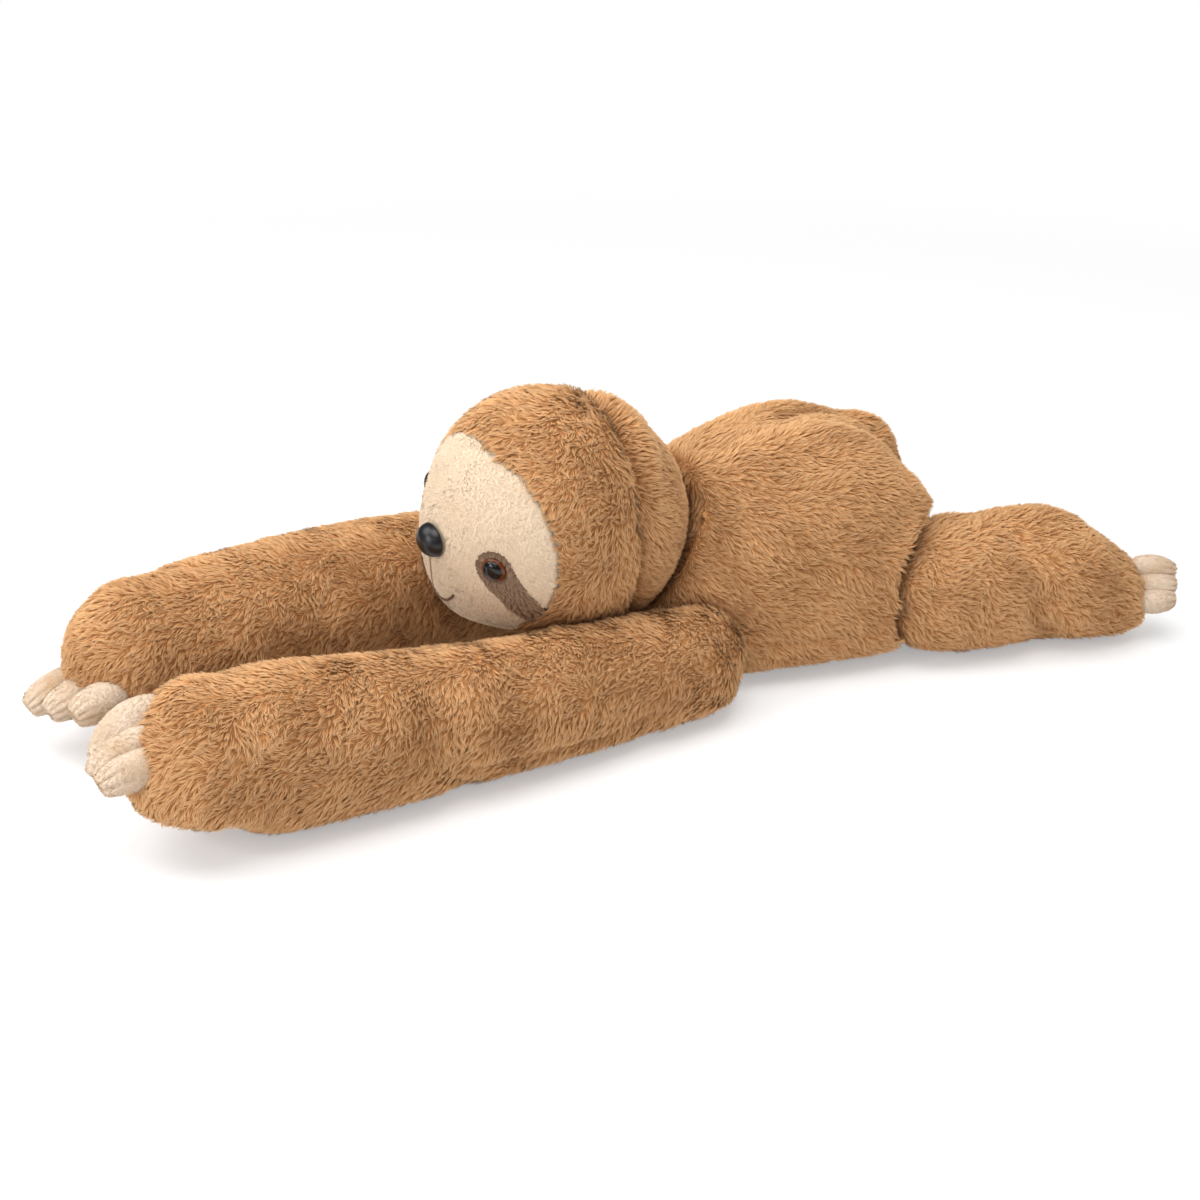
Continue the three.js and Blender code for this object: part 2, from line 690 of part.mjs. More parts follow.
function buttonAt(direction, radius, sink, washerDepth) {
  return { direction, radius, washerDepth, seat: headPoint(direction, PILE_STEP + sink) };
}

// The hollow that a button and its shank keep in the face
function buttonRoom(button) {
  const well = rod(button.radius + SEAM_GAP, 0, 2 * NOSE_DOME);
  const hole = rod(SHANK_RADIUS + SEAM_GAP, -SHANK_LENGTH - SEAM_GAP, EYE_DOME);
  return turned(well, button).add(turned(hole, button));
}

function makeWasher(name, button) {
  const ring = rod(WASHER_RADIUS, -button.washerDepth - WASHER_THICKNESS, -button.washerDepth);
  const hole = rod(SHANK_RADIUS + SEAM_GAP, -SHANK_LENGTH - SEAM_GAP, EYE_DOME);
  addPiece(name, turned(ring, button).subtract(turned(hole, button)), clearPlastic);
}

function makeEye(eye) {
  const pupilSeat = EYE_DOME * PUPIL_SEAT_SHARE;
  const well = rod(PUPIL_RADIUS, pupilSeat, 2 * EYE_DOME);
  const pupil = [
    ...domeProfile(PUPIL_RADIUS - SEAM_GAP, PUPIL_DOME, pupilSeat + PUPIL_EDGE),
    [PUPIL_RADIUS - SEAM_GAP, pupilSeat + SEAM_GAP],
    [0, pupilSeat + SEAM_GAP],
  ];
  const dome = turned(shankedDome(EYE_RADIUS, EYE_DOME), eye);
  addPiece(`eye_iris_${eye.word}`, dome.subtract(turned(well, eye)), brownPlastic);
  addPiece(`eye_pupil_${eye.word}`, turned(pupil, eye), blackPlastic);
  makeWasher(`eye_washer_${eye.word}`, eye);
}

function makeNose(nose) {
  const squash = NOSE_HALF_HEIGHT / NOSE_HALF_WIDTH;
  addPiece('nose', turned(shankedDome(NOSE_HALF_WIDTH, NOSE_DOME), nose, squash), blackPlastic);
  makeWasher('nose_washer', nose);
}

// The stuffing keeps clear of the washers and of the shanks that reach past them
function makeHeadStuffing(filling, buttons) {
  let stuffing = filling;
  buttons.forEach((button) => {
    const bottom = -button.washerDepth - WASHER_THICKNESS - SEAM_GAP;
    const washerRoom = rod(WASHER_RADIUS + SEAM_GAP, bottom, EYE_DOME);
    const shankRoom = rod(SHANK_RADIUS + SEAM_GAP, -SHANK_LENGTH - SEAM_GAP, EYE_DOME);
    stuffing = stuffing.subtract(turned(washerRoom, button)).subtract(turned(shankRoom, button));
  });
  addPiece('head_stuffing', stuffing, fibrefill);
}

function makeFace(lining, behindCrown, eyes, nose) {
  const face = headForm(PILE_STEP, HEAD_FACETING).subtract(lining).intersect(faceCut(0));
  const rooms = [...eyes, nose].map(buttonRoom);
  const mask = rooms.reduce((left, room) => left.subtract(room), face.subtract(behindCrown));
  const depth = HEAD_HALF_DEPTH * PATCH_ROOT_SHARE;
  let around = mask;
  eyes.forEach((eye) => {
    const patchRoom = facePrism(patchOutline(eye.side, SEAM_GAP), eye.direction, depth);
    const patchCut = facePrism(patchOutline(eye.side, 0), eye.direction, depth);
    addPiece(`eye_patch_${eye.word}`, mask.intersect(patchCut), patchPlush);
    around = around.subtract(patchRoom);
  });
  addPiece('face_mask', around, facePlush);
}

function makeHead() {
  const backwards = neckCentre.clone().sub(headCentre);
  const seamAt = backwards.length() * ROLL_SEAM_SHARE;
  backwards.normalize();
  const seamOffset = backwards.dot(headCentre) + seamAt;
  const behindSeam = halfSpace(backwards, seamOffset + SEAM_GAP / 2);
  const fromSeamBack = halfSpace(backwards, seamOffset - SEAM_GAP / 2);
  const inside = (inset) => {
    const roll = neckRollForm(inset, NECK_LINING_AROUND);
    return headForm(inset, HEAD_LINING_FACETING).add(roll);
  };
  const lining = inside(FABRIC);
  const crown = headForm(0, HEAD_FACETING).subtract(lining).subtract(faceCut(SEAM_GAP));
  addPiece('head_crown', crown.subtract(fromSeamBack), fur);
  addPiece('neck_roll', neckRollForm(0, NECK_AROUND).subtract(lining).intersect(behindSeam), fur);

  const noseDirection = faceDirection(NOSE_BELOW_FRONT_DEG, 180);
  const nose = buttonAt(noseDirection, NOSE_HALF_WIDTH, 0, NOSE_WASHER_DEPTH);
  const eyes = [1, -1].map((side) => {
    const direction = faceDirection(EYE_FROM_FRONT_DEG, side * EYE_CLOCK_DEG);
    const button = buttonAt(direction, EYE_RADIUS, EYE_SINK, EYE_WASHER_DEPTH);
    return { ...button, side, word: side > 0 ? 'left' : 'right' };
  });
  makeFace(lining, fromSeamBack, eyes, nose);
  makeHeadStuffing(inside(FABRIC + SEAM_GAP), [...eyes, nose]);
  eyes.forEach(makeEye);
  makeNose(nose);
  makeMouth();
}

// A thread that lies on the face, flat where it is pulled down on the pile
function stitch(name, directions) {
  const depth = PILE_STEP - SEAM_GAP;
  const path = new THREE.CatmullRomCurve3(directions.map((direction) => headPoint(direction, depth)));
  const section = new THREE.Shape(ovalOutline(THREAD_RADIUS, THREAD_RADIUS, THREAD_AROUND));
  const options = { steps: THREAD_STEPS, extrudePath: path, bevelEnabled: false };
  const strand = solid(new THREE.ExtrudeGeometry(section, options));
  addPiece(name, strand.subtract(headForm(depth, HEAD_FACETING)), thread);
}

function makeMouth() {
  const philtrum = philtrumShares.map((share) => {
    const below = lerp(PHILTRUM_TOP_DEG, PHILTRUM_BOTTOM_DEG, share);
    return faceDirection(below, 180);
  });
  const smile = smileShares.map((share) => {
    const below = PHILTRUM_BOTTOM_DEG + SMILE_DROP_DEG - SMILE_RISE_DEG * share ** 2;
    return faceDirection(below, 180 + share * SMILE_SPREAD_DEG);
  });
  stitch('philtrum_stitch', philtrum);
  stitch('smile_stitch', smile);
}

function makeTorso(limbs) {
  const carve = (body, inset) => {
    const around = inset > 0 ? SOCKET_LINING_AROUND : SOCKET_AROUND;
    const rooms = limbs.map((limb) => limbRoom(limb, JOINT_CLEARANCE + inset, around));
    return rooms.reduce((left, room) => left.subtract(room), body.subtract(headRoom(inset)));
  };
  const inside = (inset) => carve(torsoForm(TORSO_LINING_AROUND, inset), inset);
  const shell = carve(torsoForm(TORSO_AROUND, 0), 0).intersect(aboveFloor).subtract(inside(FABRIC));
  const back = shell.intersect(halfSpace(up, BELLY_SEAM_HEIGHT + SEAM_GAP / 2));
  const belly = shell.subtract(halfSpace(up, BELLY_SEAM_HEIGHT - SEAM_GAP / 2));
  addPiece('torso_belly_panel', belly, fur);
  addPiece('torso_back_left', back.intersect(halfSpace(leftward, SEAM_GAP / 2)), fur);
  addPiece('torso_back_right', back.intersect(halfSpace(rightward, SEAM_GAP / 2)), fur);
  addPiece('torso_stuffing', inside(FABRIC + SEAM_GAP), fibrefill);
}

makeTorso([leftArm, rightArm, leftLeg, rightLeg]);
makeHead();
[leftArm, rightArm, leftLeg, rightLeg].forEach(makeLimb);
makeDigits(leftArm, leftClaws);
makeDigits(rightArm, rightClaws);
makeDigits(leftLeg, toes);
makeDigits(rightLeg, toes);

// The toy stands with the middle of its footprint at the origin
const bounds = new THREE.Box3().setFromObject(part);
const middle = bounds.getCenter(new THREE.Vector3());
part.position.set(-middle.x, -middle.y, -bounds.min.z);

export default part;
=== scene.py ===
"""Plush sloth lying on its belly: fur, face, claws and stage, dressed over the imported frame."""

import json
import math

import bmesh
import bpy
import numpy as np
from bpy.props import FloatProperty, FloatVectorProperty, PointerProperty
from mathutils import Matrix, Quaternion, Vector
from mathutils.bvhtree import BVHTree
from mathutils.kdtree import KDTree


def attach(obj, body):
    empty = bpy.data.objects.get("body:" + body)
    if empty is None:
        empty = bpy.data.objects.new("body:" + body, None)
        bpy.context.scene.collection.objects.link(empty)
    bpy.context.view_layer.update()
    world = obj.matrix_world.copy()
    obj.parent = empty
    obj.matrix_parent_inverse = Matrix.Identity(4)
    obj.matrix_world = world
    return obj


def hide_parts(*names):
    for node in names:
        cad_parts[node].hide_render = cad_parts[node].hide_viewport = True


bl_info = {
    "name": "Plush Sloth",
    "version": (1, 0, 0),
    "blender": (4, 5, 0),
    "location": "View3D > Sidebar > Plush Sloth",
    "description": "Dresses the lying plush sloth with fur, face, claws, eyes and a stage",
    "category": "Object",
}

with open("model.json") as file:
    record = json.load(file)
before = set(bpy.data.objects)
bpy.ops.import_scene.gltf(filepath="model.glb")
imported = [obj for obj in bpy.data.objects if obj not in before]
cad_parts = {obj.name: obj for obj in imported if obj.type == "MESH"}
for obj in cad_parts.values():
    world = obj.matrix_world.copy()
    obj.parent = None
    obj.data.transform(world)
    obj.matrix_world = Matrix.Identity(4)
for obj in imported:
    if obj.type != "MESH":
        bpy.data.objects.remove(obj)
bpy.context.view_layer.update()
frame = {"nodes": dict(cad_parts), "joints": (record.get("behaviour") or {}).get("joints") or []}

JOINT_AT = {joint["name"]: Vector(joint["pos_m"]) for joint in frame["joints"]}
NECK = JOINT_AT["neck_nod"]

# Camera of the photograph, told from the neck joint, and the frame that its pixels are counted in
CAMERA_AT = NECK + Vector((0.83983, -0.46687, 0.3922))
CAMERA_TARGET = NECK + Vector((0, 0.018, -0.060))
CAMERA_LENS_MM = 50
SENSOR_MM = 36
PHOTO_PIXELS = 1200

# Head, told from the neck joint
HEAD_CENTRE = NECK + Vector((0, -0.022, 0.011))
HEAD_HALF = (0.077, 0.074, 0.078)
HEAD_ROLL = math.radians(18)
HEAD_TURN = math.radians(4)
ROLL_HALF = (0.066, 0.074, 0.074)
MUZZLE_LIFT = 0.007
MUZZLE_BELOW = math.radians(24)
MUZZLE_SPREAD = math.radians(34)
CHIN_LIFT = 0.006
CHIN_BELOW = math.radians(48)
CHIN_SPREAD = math.radians(20)
FACE_RADIUS = 0.056
FACE_BORDER = 0.0555
FACE_NEAR_TURN = math.radians(16)
FACE_FAR_TURN = math.radians(3)
FACE_DROP = math.radians(22)
FACE_TUCK = 0.0026
SEAM_BEHIND = 0.012
SEAM_DEPTH = 0.010
SEAM_WIDTH = 0.0045
ROLL_LIFT = 0.004
ROLL_LIFT_BEHIND = (0.002, 0.010)
ROLL_LIFT_SLOPES = (math.radians(48), math.radians(66))
HEAD_BLEND = 0.005
NOSE_BELOW = math.radians(2)

# Each eye sits where the photograph shows it: the near one closer to the nose, the far one out of sight
SIDES = {1: "left", -1: "right"}
EYE_CLOCK = math.radians(88)
EYES_FROM_FRONT = {1: math.radians(35), -1: math.radians(40.5)}
EYE_INSETS = {1: 0.0044, -1: 0.0068}
SOCKET_DEPTH = 0.0022
SOCKET_WIDTH = 0.009

# Eye patches, drops that start round the eye
PATCH_RADIUS = 0.0125
PATCH_TIP = 0.0085
PATCH_LENGTH = 0.043
PATCH_FALL = math.radians(47)
PATCH_MIDDLE = 0.014
PATCH_REACH = 0.06

# The mouth as the photograph shows its near half, in pixels, and how it dents the face
PHILTRUM_PIXELS = ((429.5, 555), (430.5, 571), (433, 586), (437, 595.5))
SMILE_PIXELS = ((437, 595.5), (441, 599), (446, 600.5), (450, 599), (453, 595.5))
PHILTRUM_INSET = 0.0024
SMILE_INSET = 0.0018
PHILTRUM_DEPTH = 0.0010
PHILTRUM_WIDTH = 0.0020

# Cloth, the room that the pile leaves round the buttons, and filling
CLOTH = 0.0015
FACE_CLOTH = 0.0018
FACE_INSET = 0.0032
PATCH_CLOTH = 0.0012
PATCH_INSET = 0.0035
NOSE_CLEARING = 0.0095
EYE_CLEARING = 0.0082
SKIN_CELL = 0.005
WADDING_CELL = 0.006
WADDING_DEPTH = 0.006
FLOOR_GAP = 0.0003
LOW_SPAN = (0.012, 0.034)
GAP_SPAN = (0.002, 0.018)
GAP_REACH = 0.020

FACE_FRONT = Quaternion((0, 0, 1), HEAD_TURN) @ Vector((0, -1, 0))
FACE_UP = Quaternion(FACE_FRONT, -HEAD_ROLL) @ Vector((0, 0, 1))
FACE_LEFT = FACE_UP.cross(FACE_FRONT)


def linear(red, green, blue):
    """A screen colour, 0 to 255, as the linear one that a shader takes."""
    shares = [v / 255 for v in (red, green, blue)]
    return tuple(s / 12.92 if s <= 0.04045 else ((s + 0.055) / 1.055) ** 2.4 for s in shares)


# Settings


def length(name, default, text):
    return FloatProperty(name=name, description=text, default=default, min=0, unit="LENGTH", precision=4)


def colour(name, default, text):
    return FloatVectorProperty(
        name=name, description=text, default=default, min=0, max=1, size=3, subtype="COLOR"
    )


def strength(name, default, text):
    return FloatProperty(name=name, description=text, default=default, min=0)


class FurSettings(bpy.types.PropertyGroup):
    pile: length("Pile length", 0.0066, "Length of a tuft of fur from root to tip")
    width: length("Tuft width", 0.00095, "Width of a tuft at its root")
    spacing: length("Spacing", 0.00103, "Mean distance between tufts")
    clump: length("Clump size", 0.0022, "Distance between the clumps that tufts lean towards")
    inset: length("Skin depth", 0.0042, "Depth of the backing cloth under the outline of the fur")
    low_inset: length("Low skin depth", 0.0018, "Depth of the backing cloth where the toy rests")
    tip: colour("Tip colour", linear(232, 184, 134), "Fur colour at the tips")
    body: colour("Pile colour", linear(206, 150, 98), "Fur colour halfway up the pile")
    root: colour("Root colour", linear(146, 96, 56), "Fur colour at the backing cloth")


class FaceSettings(bpy.types.PropertyGroup):
    pile: length("Face pile", 0.0014, "Length of the short pile of the face")
    spacing: length("Face spacing", 0.0011, "Mean distance between nubs of the face pile")
    patch_pile: length("Patch pile", 0.0036, "Length of the pile of the eye patches")
    cream: colour("Face colour", linear(229, 206, 179), "Colour of the cream face plush")
    taupe: colour("Patch colour", linear(142, 116, 95), "Colour of the eye patch plush")


class ClawSettings(bpy.types.PropertyGroup):
    pile: length("Claw pile", 0.0013, "Length of the velvety pile of the claws")
    spacing: length("Claw spacing", 0.0010, "Mean distance between hairs of the claw pile")
    pleat: length("Pleat depth", 0.0018, "Depth of the gathers at the end of a claw")
    cream: colour("Claw colour", linear(222, 200, 177), "Colour of the pale velvety claws")


class ButtonSettings(bpy.types.PropertyGroup):
    iris: length("Iris radius", 0.0078, "Radius of the brown dome of an eye")
    pupil: length("Pupil radius", 0.0063, "Radius of the black dome of an eye")
    nose_half_width: length("Nose half width", 0.0115, "Half the width of the nose")
    nose_half_height: length("Nose half height", 0.0100, "Half the height of the nose")
    brown: colour("Iris colour", linear(88, 44, 20), "Colour of the brown rim of the eyes")
    black: colour("Button colour", linear(14, 13, 14), "Colour of the pupils and the nose")
    thread: colour("Thread colour", linear(104, 72, 52), "Colour of the smile stitches")
    crease: colour("Crease colour", linear(196, 164, 134), "Colour of the thread under the nose")


class StageSettings(bpy.types.PropertyGroup):
    key: strength("Key lamp", 14.0, "Power of the large lamp ahead of the toy")
    top: strength("Top lamp", 16.5, "Power of the lamp over the toy")
    front: strength("Front lamp", 10.0, "Power of the lamp before the face")
    spark: strength("Spark lamps", 3.0, "Power of the two small lamps that spark in the eyes")
    sky: strength("Surround", 0.68, "Strength of the even light all round")
    floor: colour("Floor colour", (0.9, 0.9, 0.9), "Colour of the floor")


def settings():
    return bpy.context.scene.plush_sloth


# Shader maths


class Value:
    """A shader socket that takes part in sums."""

    def __init__(self, tree, socket):
        self.tree = tree
        self.socket = socket

    def maths(self, operation, *others):
        return self.tree.node("ShaderNodeMath", {"operation": operation}, dict(enumerate((self, *others))))

    def __add__(self, other):
        return self.maths("ADD", other)

    def __mul__(self, other):
        return self.maths("MULTIPLY", other)

    __radd__ = __add__
    __rmul__ = __mul__


class Nodes:
    """A node tree whose nodes all come from one method."""

    def __init__(self, tree):
        self.nodes = tree.nodes
        self.links = tree.links

    def node(self, kind, setup=None, inputs=None, output=0):
        made = self.nodes.new(kind)
        for key, value in (setup or {}).items():
            if key == "stops":
                ramp = made.color_ramp.elements
                while len(ramp) < len(value):
                    ramp.new(0.5)
                for stop, (position, tint) in zip(ramp, value):
                    stop.position = position
                    stop.color = (*tint, 1)
            else:
                setattr(made, key, value)
        for key, value in (inputs or {}).items():
            self.feed(made.inputs[key], value)
        return Value(self, made.outputs[output])

    def feed(self, socket, value):
        if isinstance(value, Value):
            self.links.new(value.socket, socket)
        elif socket.type == "RGBA":
            socket.default_value = (*value[:3], 1)
        else:
            socket.default_value = value


class Finish(Nodes):
    """A material and its main shader."""

    def __init__(self, name):
        self.material = bpy.data.materials.new(name)
        self.material.use_nodes = True
        super().__init__(self.material.node_tree)
        self.shader = self.nodes["Principled BSDF"]

    def set(self, **inputs):
        for key, value in inputs.items():
            self.feed(self.shader.inputs[key.replace("_", " ")], value)
        return self.material

    def place(self):
        return self.node("ShaderNodeTexCoord", output=3)

    def noise(self, scale):
        inputs = {"Vector": self.place(), "Scale": scale, "Detail": 3}
        return self.node("ShaderNodeTexNoise", {}, inputs)

    def mix(self, factor, first, second, blend="MIX"):
        setup = {"data_type": "RGBA", "blend_type": blend}
        return self.node("ShaderNodeMix", setup, {0: factor, 6: first, 7: second}, output=2)

    def bump(self, height, distance):
        return self.node("ShaderNodeBump", {}, {"Height": height, "Distance": distance, "Strength": 1.0})


def scaled(tint, factor):
    return tuple(min(1.0, c * factor) for c in tint)


def pile_finish(name, root, body, tip, dark):
    """Pile whose colour runs from root to tip up its own map, and from dark to plain across it."""
    finish = Finish(name)
    where = finish.node("ShaderNodeUVMap", {"uv_map": "OFBake"})
    across = finish.node("ShaderNodeSeparateXYZ", {}, {0: where}, output=0)
    up = finish.node("ShaderNodeSeparateXYZ", {}, {0: where}, output=1)
    stops = [(0.0, root), (0.4, body), (0.75, scaled(tip, 0.94)), (1.0, tip)]
    along = finish.node("ShaderNodeValToRGB", {"stops": stops}, {0: up})
    half = tuple(0.35 * c + 0.65 for c in dark)
    stops = [(0.0, dark), (0.35, half), (0.65, (1.0, 1.0, 1.0)), (1.0, (1.0, 1.0, 1.0))]
    tone = finish.node("ShaderNodeValToRGB", {"stops": stops}, {0: across})
    tint = finish.mix(1.0, along, tone, "MULTIPLY")
    finish.set(Base_Color=tint, Roughness=0.85, Sheen_Weight=0.1, Sheen_Tint=tip, Specular_IOR_Level=0.15)
    return finish.material


# Fields over a surface


class Ripple:
    """A smooth random field, a sum of waves about one length long."""

    def __init__(self, seed, wave, count=14):
        chance = np.random.RandomState(seed)
        way = chance.normal(size=(count, 3))
        way /= np.linalg.norm(way, axis=1, keepdims=True)
        self.turns = way * (2 * np.pi / wave) * chance.uniform(0.7, 1.4, (count, 1))
        self.start = chance.uniform(0, 2 * np.pi, count)
        self.strength = math.sqrt(2 / count)

    def __call__(self, points):
        return np.sin(points @ self.turns.T + self.start).sum(1) * self.strength


def unit(vectors):
    return vectors / np.maximum(np.linalg.norm(vectors, axis=1, keepdims=True), 1e-9)


def smoothstep(low, high, values):
    t = np.clip((values - low) / (high - low), 0, 1)
    return t * t * (3 - 2 * t)


def line_distance(points, line):
    """Distance of each point from a line of points."""
    nearest = np.full(len(points), 1e9)
    for start, end in zip(line[:-1], line[1:]):
        along = end - start
        t = np.clip(((points - start) @ along) / max(along @ along, 1e-12), 0, 1)
        nearest = np.minimum(nearest, np.linalg.norm(points - start - t[:, None] * along, axis=1))
    return nearest


def photo_ray(across, down):
    """Direction in which the camera sees a pixel of the photograph."""
    ahead = (CAMERA_TARGET - CAMERA_AT).normalized()
    right = ahead.cross(Vector((0, 0, 1))).normalized()
    upward = right.cross(ahead)
    reach = CAMERA_LENS_MM / SENSOR_MM * PHOTO_PIXELS
    middle = PHOTO_PIXELS / 2
    return (ahead + right * ((across - middle) / reach) - upward * ((down - middle) / reach)).normalized()


# Meshes


def new_object(name, mesh):
    made = bpy.data.objects.new(name, mesh)
    bpy.context.scene.collection.objects.link(made)
    return made


def mesh_from(bm, name):
    mesh = bpy.data.meshes.new(name)
    bm.to_mesh(mesh)
    bm.free()
    return mesh


def merged_copy(nodes):
    """The named CAD solids in one bmesh, with their loose triangles merged."""
    bm = bmesh.new()
    for node in nodes:
        bm.from_mesh(frame["nodes"][node].data)
    bmesh.ops.remove_doubles(bm, verts=bm.verts, dist=1e-6)
    return bm


def remeshed(bm, voxel):
    """A closed even skin round a bmesh, its largest island only."""
    holder = new_object("remesh", mesh_from(bm, "remesh"))
    shrink = holder.modifiers.new("Skin", "REMESH")
    shrink.mode = "VOXEL"
    shrink.voxel_size = voxel
    graph = bpy.context.evaluated_depsgraph_get()
    result = bmesh.new()
    result.from_mesh(holder.evaluated_get(graph).to_mesh())
    bpy.data.objects.remove(holder)
    islands = []
    left = set(result.verts)
    while left:
        island = {left.pop()}
        edge = list(island)
        while edge:
            vertex = edge.pop()
            for link in vertex.link_edges:
                other = link.other_vert(vertex)
                if other not in island:
                    island.add(other)
                    edge.append(other)
        left -= island
        islands.append(island)
    largest = max(islands, key=len)
    spare = [v for v in result.verts if v not in largest]
    bmesh.ops.delete(result, geom=spare, context="VERTS")
    return result


def drawn_in(bm, depths):
    """Moves a skin inwards along its normals, by no more than a third of its thickness there."""
    bm.normal_update()
    tree = BVHTree.FromBMesh(bm)
    moves = []
    for vertex, depth in zip(bm.verts, depths):
        through = tree.ray_cast(vertex.co - vertex.normal * 1e-4, -vertex.normal)[3]
        moves.append(vertex.normal * -(depth if through is None else min(depth, through / 3)))
    for vertex, move in zip(bm.verts, moves):
        vertex.co += move


def nearest_gap(points, trees, reach):
    """Distance from each point to the nearest of the trees, up to a reach."""
    gaps = np.full(len(points), reach)
    for tree in trees:
        for k, point in enumerate(points):
            found = tree.find_nearest(Vector(point), gaps[k])[3]
            if found is not None:
                gaps[k] = found
    return gaps


def soften(bm, times):
    for _ in range(times):
        bmesh.ops.smooth_vert(
            bm, verts=bm.verts, factor=0.5, use_axis_x=True, use_axis_y=True, use_axis_z=True
        )


def points_of(bm):
    return np.array([v.co[:] for v in bm.verts])


def carve(bm, line, depth, width):
    """Presses a rounded groove into a skin along a line of points."""
    bm.normal_update()
    dent = depth * np.exp(-((line_distance(points_of(bm), np.array(line)) / width) ** 2))
    for vertex, d in zip(list(bm.verts), dent):
        if d > 1e-5:
            vertex.co -= vertex.normal * d


def photo_line(bm, pixels):
    """Pixels of the photograph, dropped on a skin from the camera."""
    tree = BVHTree.FromBMesh(bm)
    hits = [tree.ray_cast(CAMERA_AT, photo_ray(*pixel))[0] for pixel in pixels]
    return [hit for hit in hits if hit is not None]


class Surface:
    """Triangles of a bmesh as arrays, to sow pile on."""

    def __init__(self, bm):
        bm.normal_update()
        self.points = points_of(bm)
        self.normals = np.array([v.normal[:] for v in bm.verts])
        bm.verts.index_update()
        corners = [[loop.vert.index for loop in t] for t in bm.calc_loop_triangles()]
        self.triangles = np.array(corners)
        a, b, c = (self.points[self.triangles[:, k]] for k in range(3))
        cross = np.cross(b - a, c - a)
        self.areas = np.linalg.norm(cross, axis=1) / 2
        self.middles = (a + b + c) / 3
        self.facing = unit(cross)

    def sow(self, spacing, weights, seed):
        """Random points, their normals and their triangles, about one for each spacing squared."""
        chance = np.random.RandomState(seed)
        wanted = self.areas * weights
        total = wanted.sum()
        count = int(total / spacing**2)
        if count == 0:
            return np.zeros((0, 3)), np.zeros((0, 3)), np.zeros(0, int)
        steps = (np.arange(count) + chance.uniform(size=count)) / count
        chosen = np.minimum(np.searchsorted(np.cumsum(wanted) / total, steps), len(self.areas) - 1)
        r, s = np.sqrt(chance.uniform(size=count)), chance.uniform(size=count)
        shares = np.stack([1 - r, r * (1 - s), r * s], 1)[:, :, None]
        corners = self.triangles[chosen]
        points = (self.points[corners] * shares).sum(1)
        normals = unit((self.normals[corners] * shares).sum(1))
        return points, normals, chosen


def tuft_form():
    """One tuft: a closed three-sided spike, 1 long along +Z and 1 wide."""
    bm = bmesh.new()
    bmesh.ops.create_cone(bm, cap_ends=True, segments=3, radius1=0.5, radius2=0, depth=1)
    bmesh.ops.translate(bm, verts=bm.verts, vec=(0, 0, 0.5))
    bmesh.ops.remove_doubles(bm, verts=bm.verts, dist=1e-4)
    bmesh.ops.recalc_face_normals(bm, faces=bm.faces)
    bm.verts.index_update()
    form = np.array([v.co[:] for v in bm.verts])
    faces = np.array([[v.index for v in f.verts] for f in bm.faces])
    bm.free()
    return form, faces


TUFT, TUFT_FACES = tuft_form()


class Coat:
    """How a pile stands: its length and width in metres, its lean in radians, and how it clumps."""

    def __init__(self, pile, width, spacing, clump, lift=0.45, gather=0.5, wander=0.5, unrest=0.1):
        self.pile = pile
        self.width = width
        self.spacing = spacing
        self.clump = clump
        self.lift = lift
        self.gather = gather
        self.wander = wander
        self.unrest = unrest


def pile(points, normals, flow, coat, seed, painted_shade=0.0):
    """Tufts as vertex positions, soft normals, and tone and height for the pile map, the tone lowered by
    any painted shade.
    """
    chance = np.random.RandomState(seed)
    count = len(points)
    way = unit(flow - (flow * normals).sum(1, keepdims=True) * normals)
    side = np.cross(normals, way)
    swirl = coat.wander * (0.6 * Ripple(seed, 0.040)(points) + 0.4 * Ripple(seed + 1, 0.013)(points))
    size = coat.pile * chance.uniform(0.8, 1.12, count)
    raised = coat.lift + coat.unrest * Ripple(seed + 2, 0.022)(points)
    # Tone varies at random, and is lowered where painted shade is given.
    tone = 0.5 + 0.10 * Ripple(seed + 3, 0.05)(points) + 0.09 * chance.normal(size=count) - painted_shade
    kept = max(1, int(count * min(1.0, (coat.spacing / coat.clump) ** 2)))
    hubs = chance.choice(count, kept, replace=False)
    tree = KDTree(kept)
    for place, index in enumerate(hubs):
        tree.insert(points[index], place)
    tree.balance()
    nearest = np.fromiter((tree.find(p)[1] for p in points), int, count)
    swirl = swirl + (chance.normal(size=kept) * 0.5 * coat.wander)[nearest]
    swirl = swirl + chance.normal(size=count) * 0.10
    raised = raised + (chance.normal(size=kept) * coat.unrest)[nearest]
    raised = raised + chance.normal(size=count) * 0.06
    tone = tone + (chance.normal(size=kept) * 0.12)[nearest]
    heading = way * np.cos(swirl)[:, None] + side * np.sin(swirl)[:, None]
    raised = np.clip(raised, 0.12, 1.3)[:, None]
    reach = heading * np.cos(raised) + normals * np.sin(raised)
    hub = hubs[nearest]
    own = points + reach * size[:, None]
    shared = points[hub] + reach[hub] * size[:, None]
    spine = own * (1 - coat.gather) + shared * coat.gather - points
    along = unit(spine)
    across = unit(np.cross(normals, along))
    above = np.cross(along, across)
    wide = (coat.width * chance.uniform(0.75, 1.25, count))[:, None, None]
    form_x, form_y, height = TUFT[:, 0][None, :, None], TUFT[:, 1][None, :, None], TUFT[:, 2][None, :, None]
    place = points[:, None] + spine[:, None] * height
    place = place + across[:, None] * (form_x * wide) + above[:, None] * (form_y * wide * 0.8)
    own = unit((across[:, None] * form_x + above[:, None] * form_y).reshape(-1, 3))
    soft = unit(own * 0.8 + np.repeat(unit(above * 0.4 + normals), len(TUFT), 0))
    tone = np.clip(tone, 0.04, 0.96)[:, None] + TUFT[:, 0][None] * 0.04
    rise = np.broadcast_to(0.04 + 0.9 * TUFT[:, 2] + 0.03 * TUFT[:, 1], (count, len(TUFT)))
    return place.reshape(-1, 3), soft, np.stack([tone, rise], 2).reshape(-1, 2)


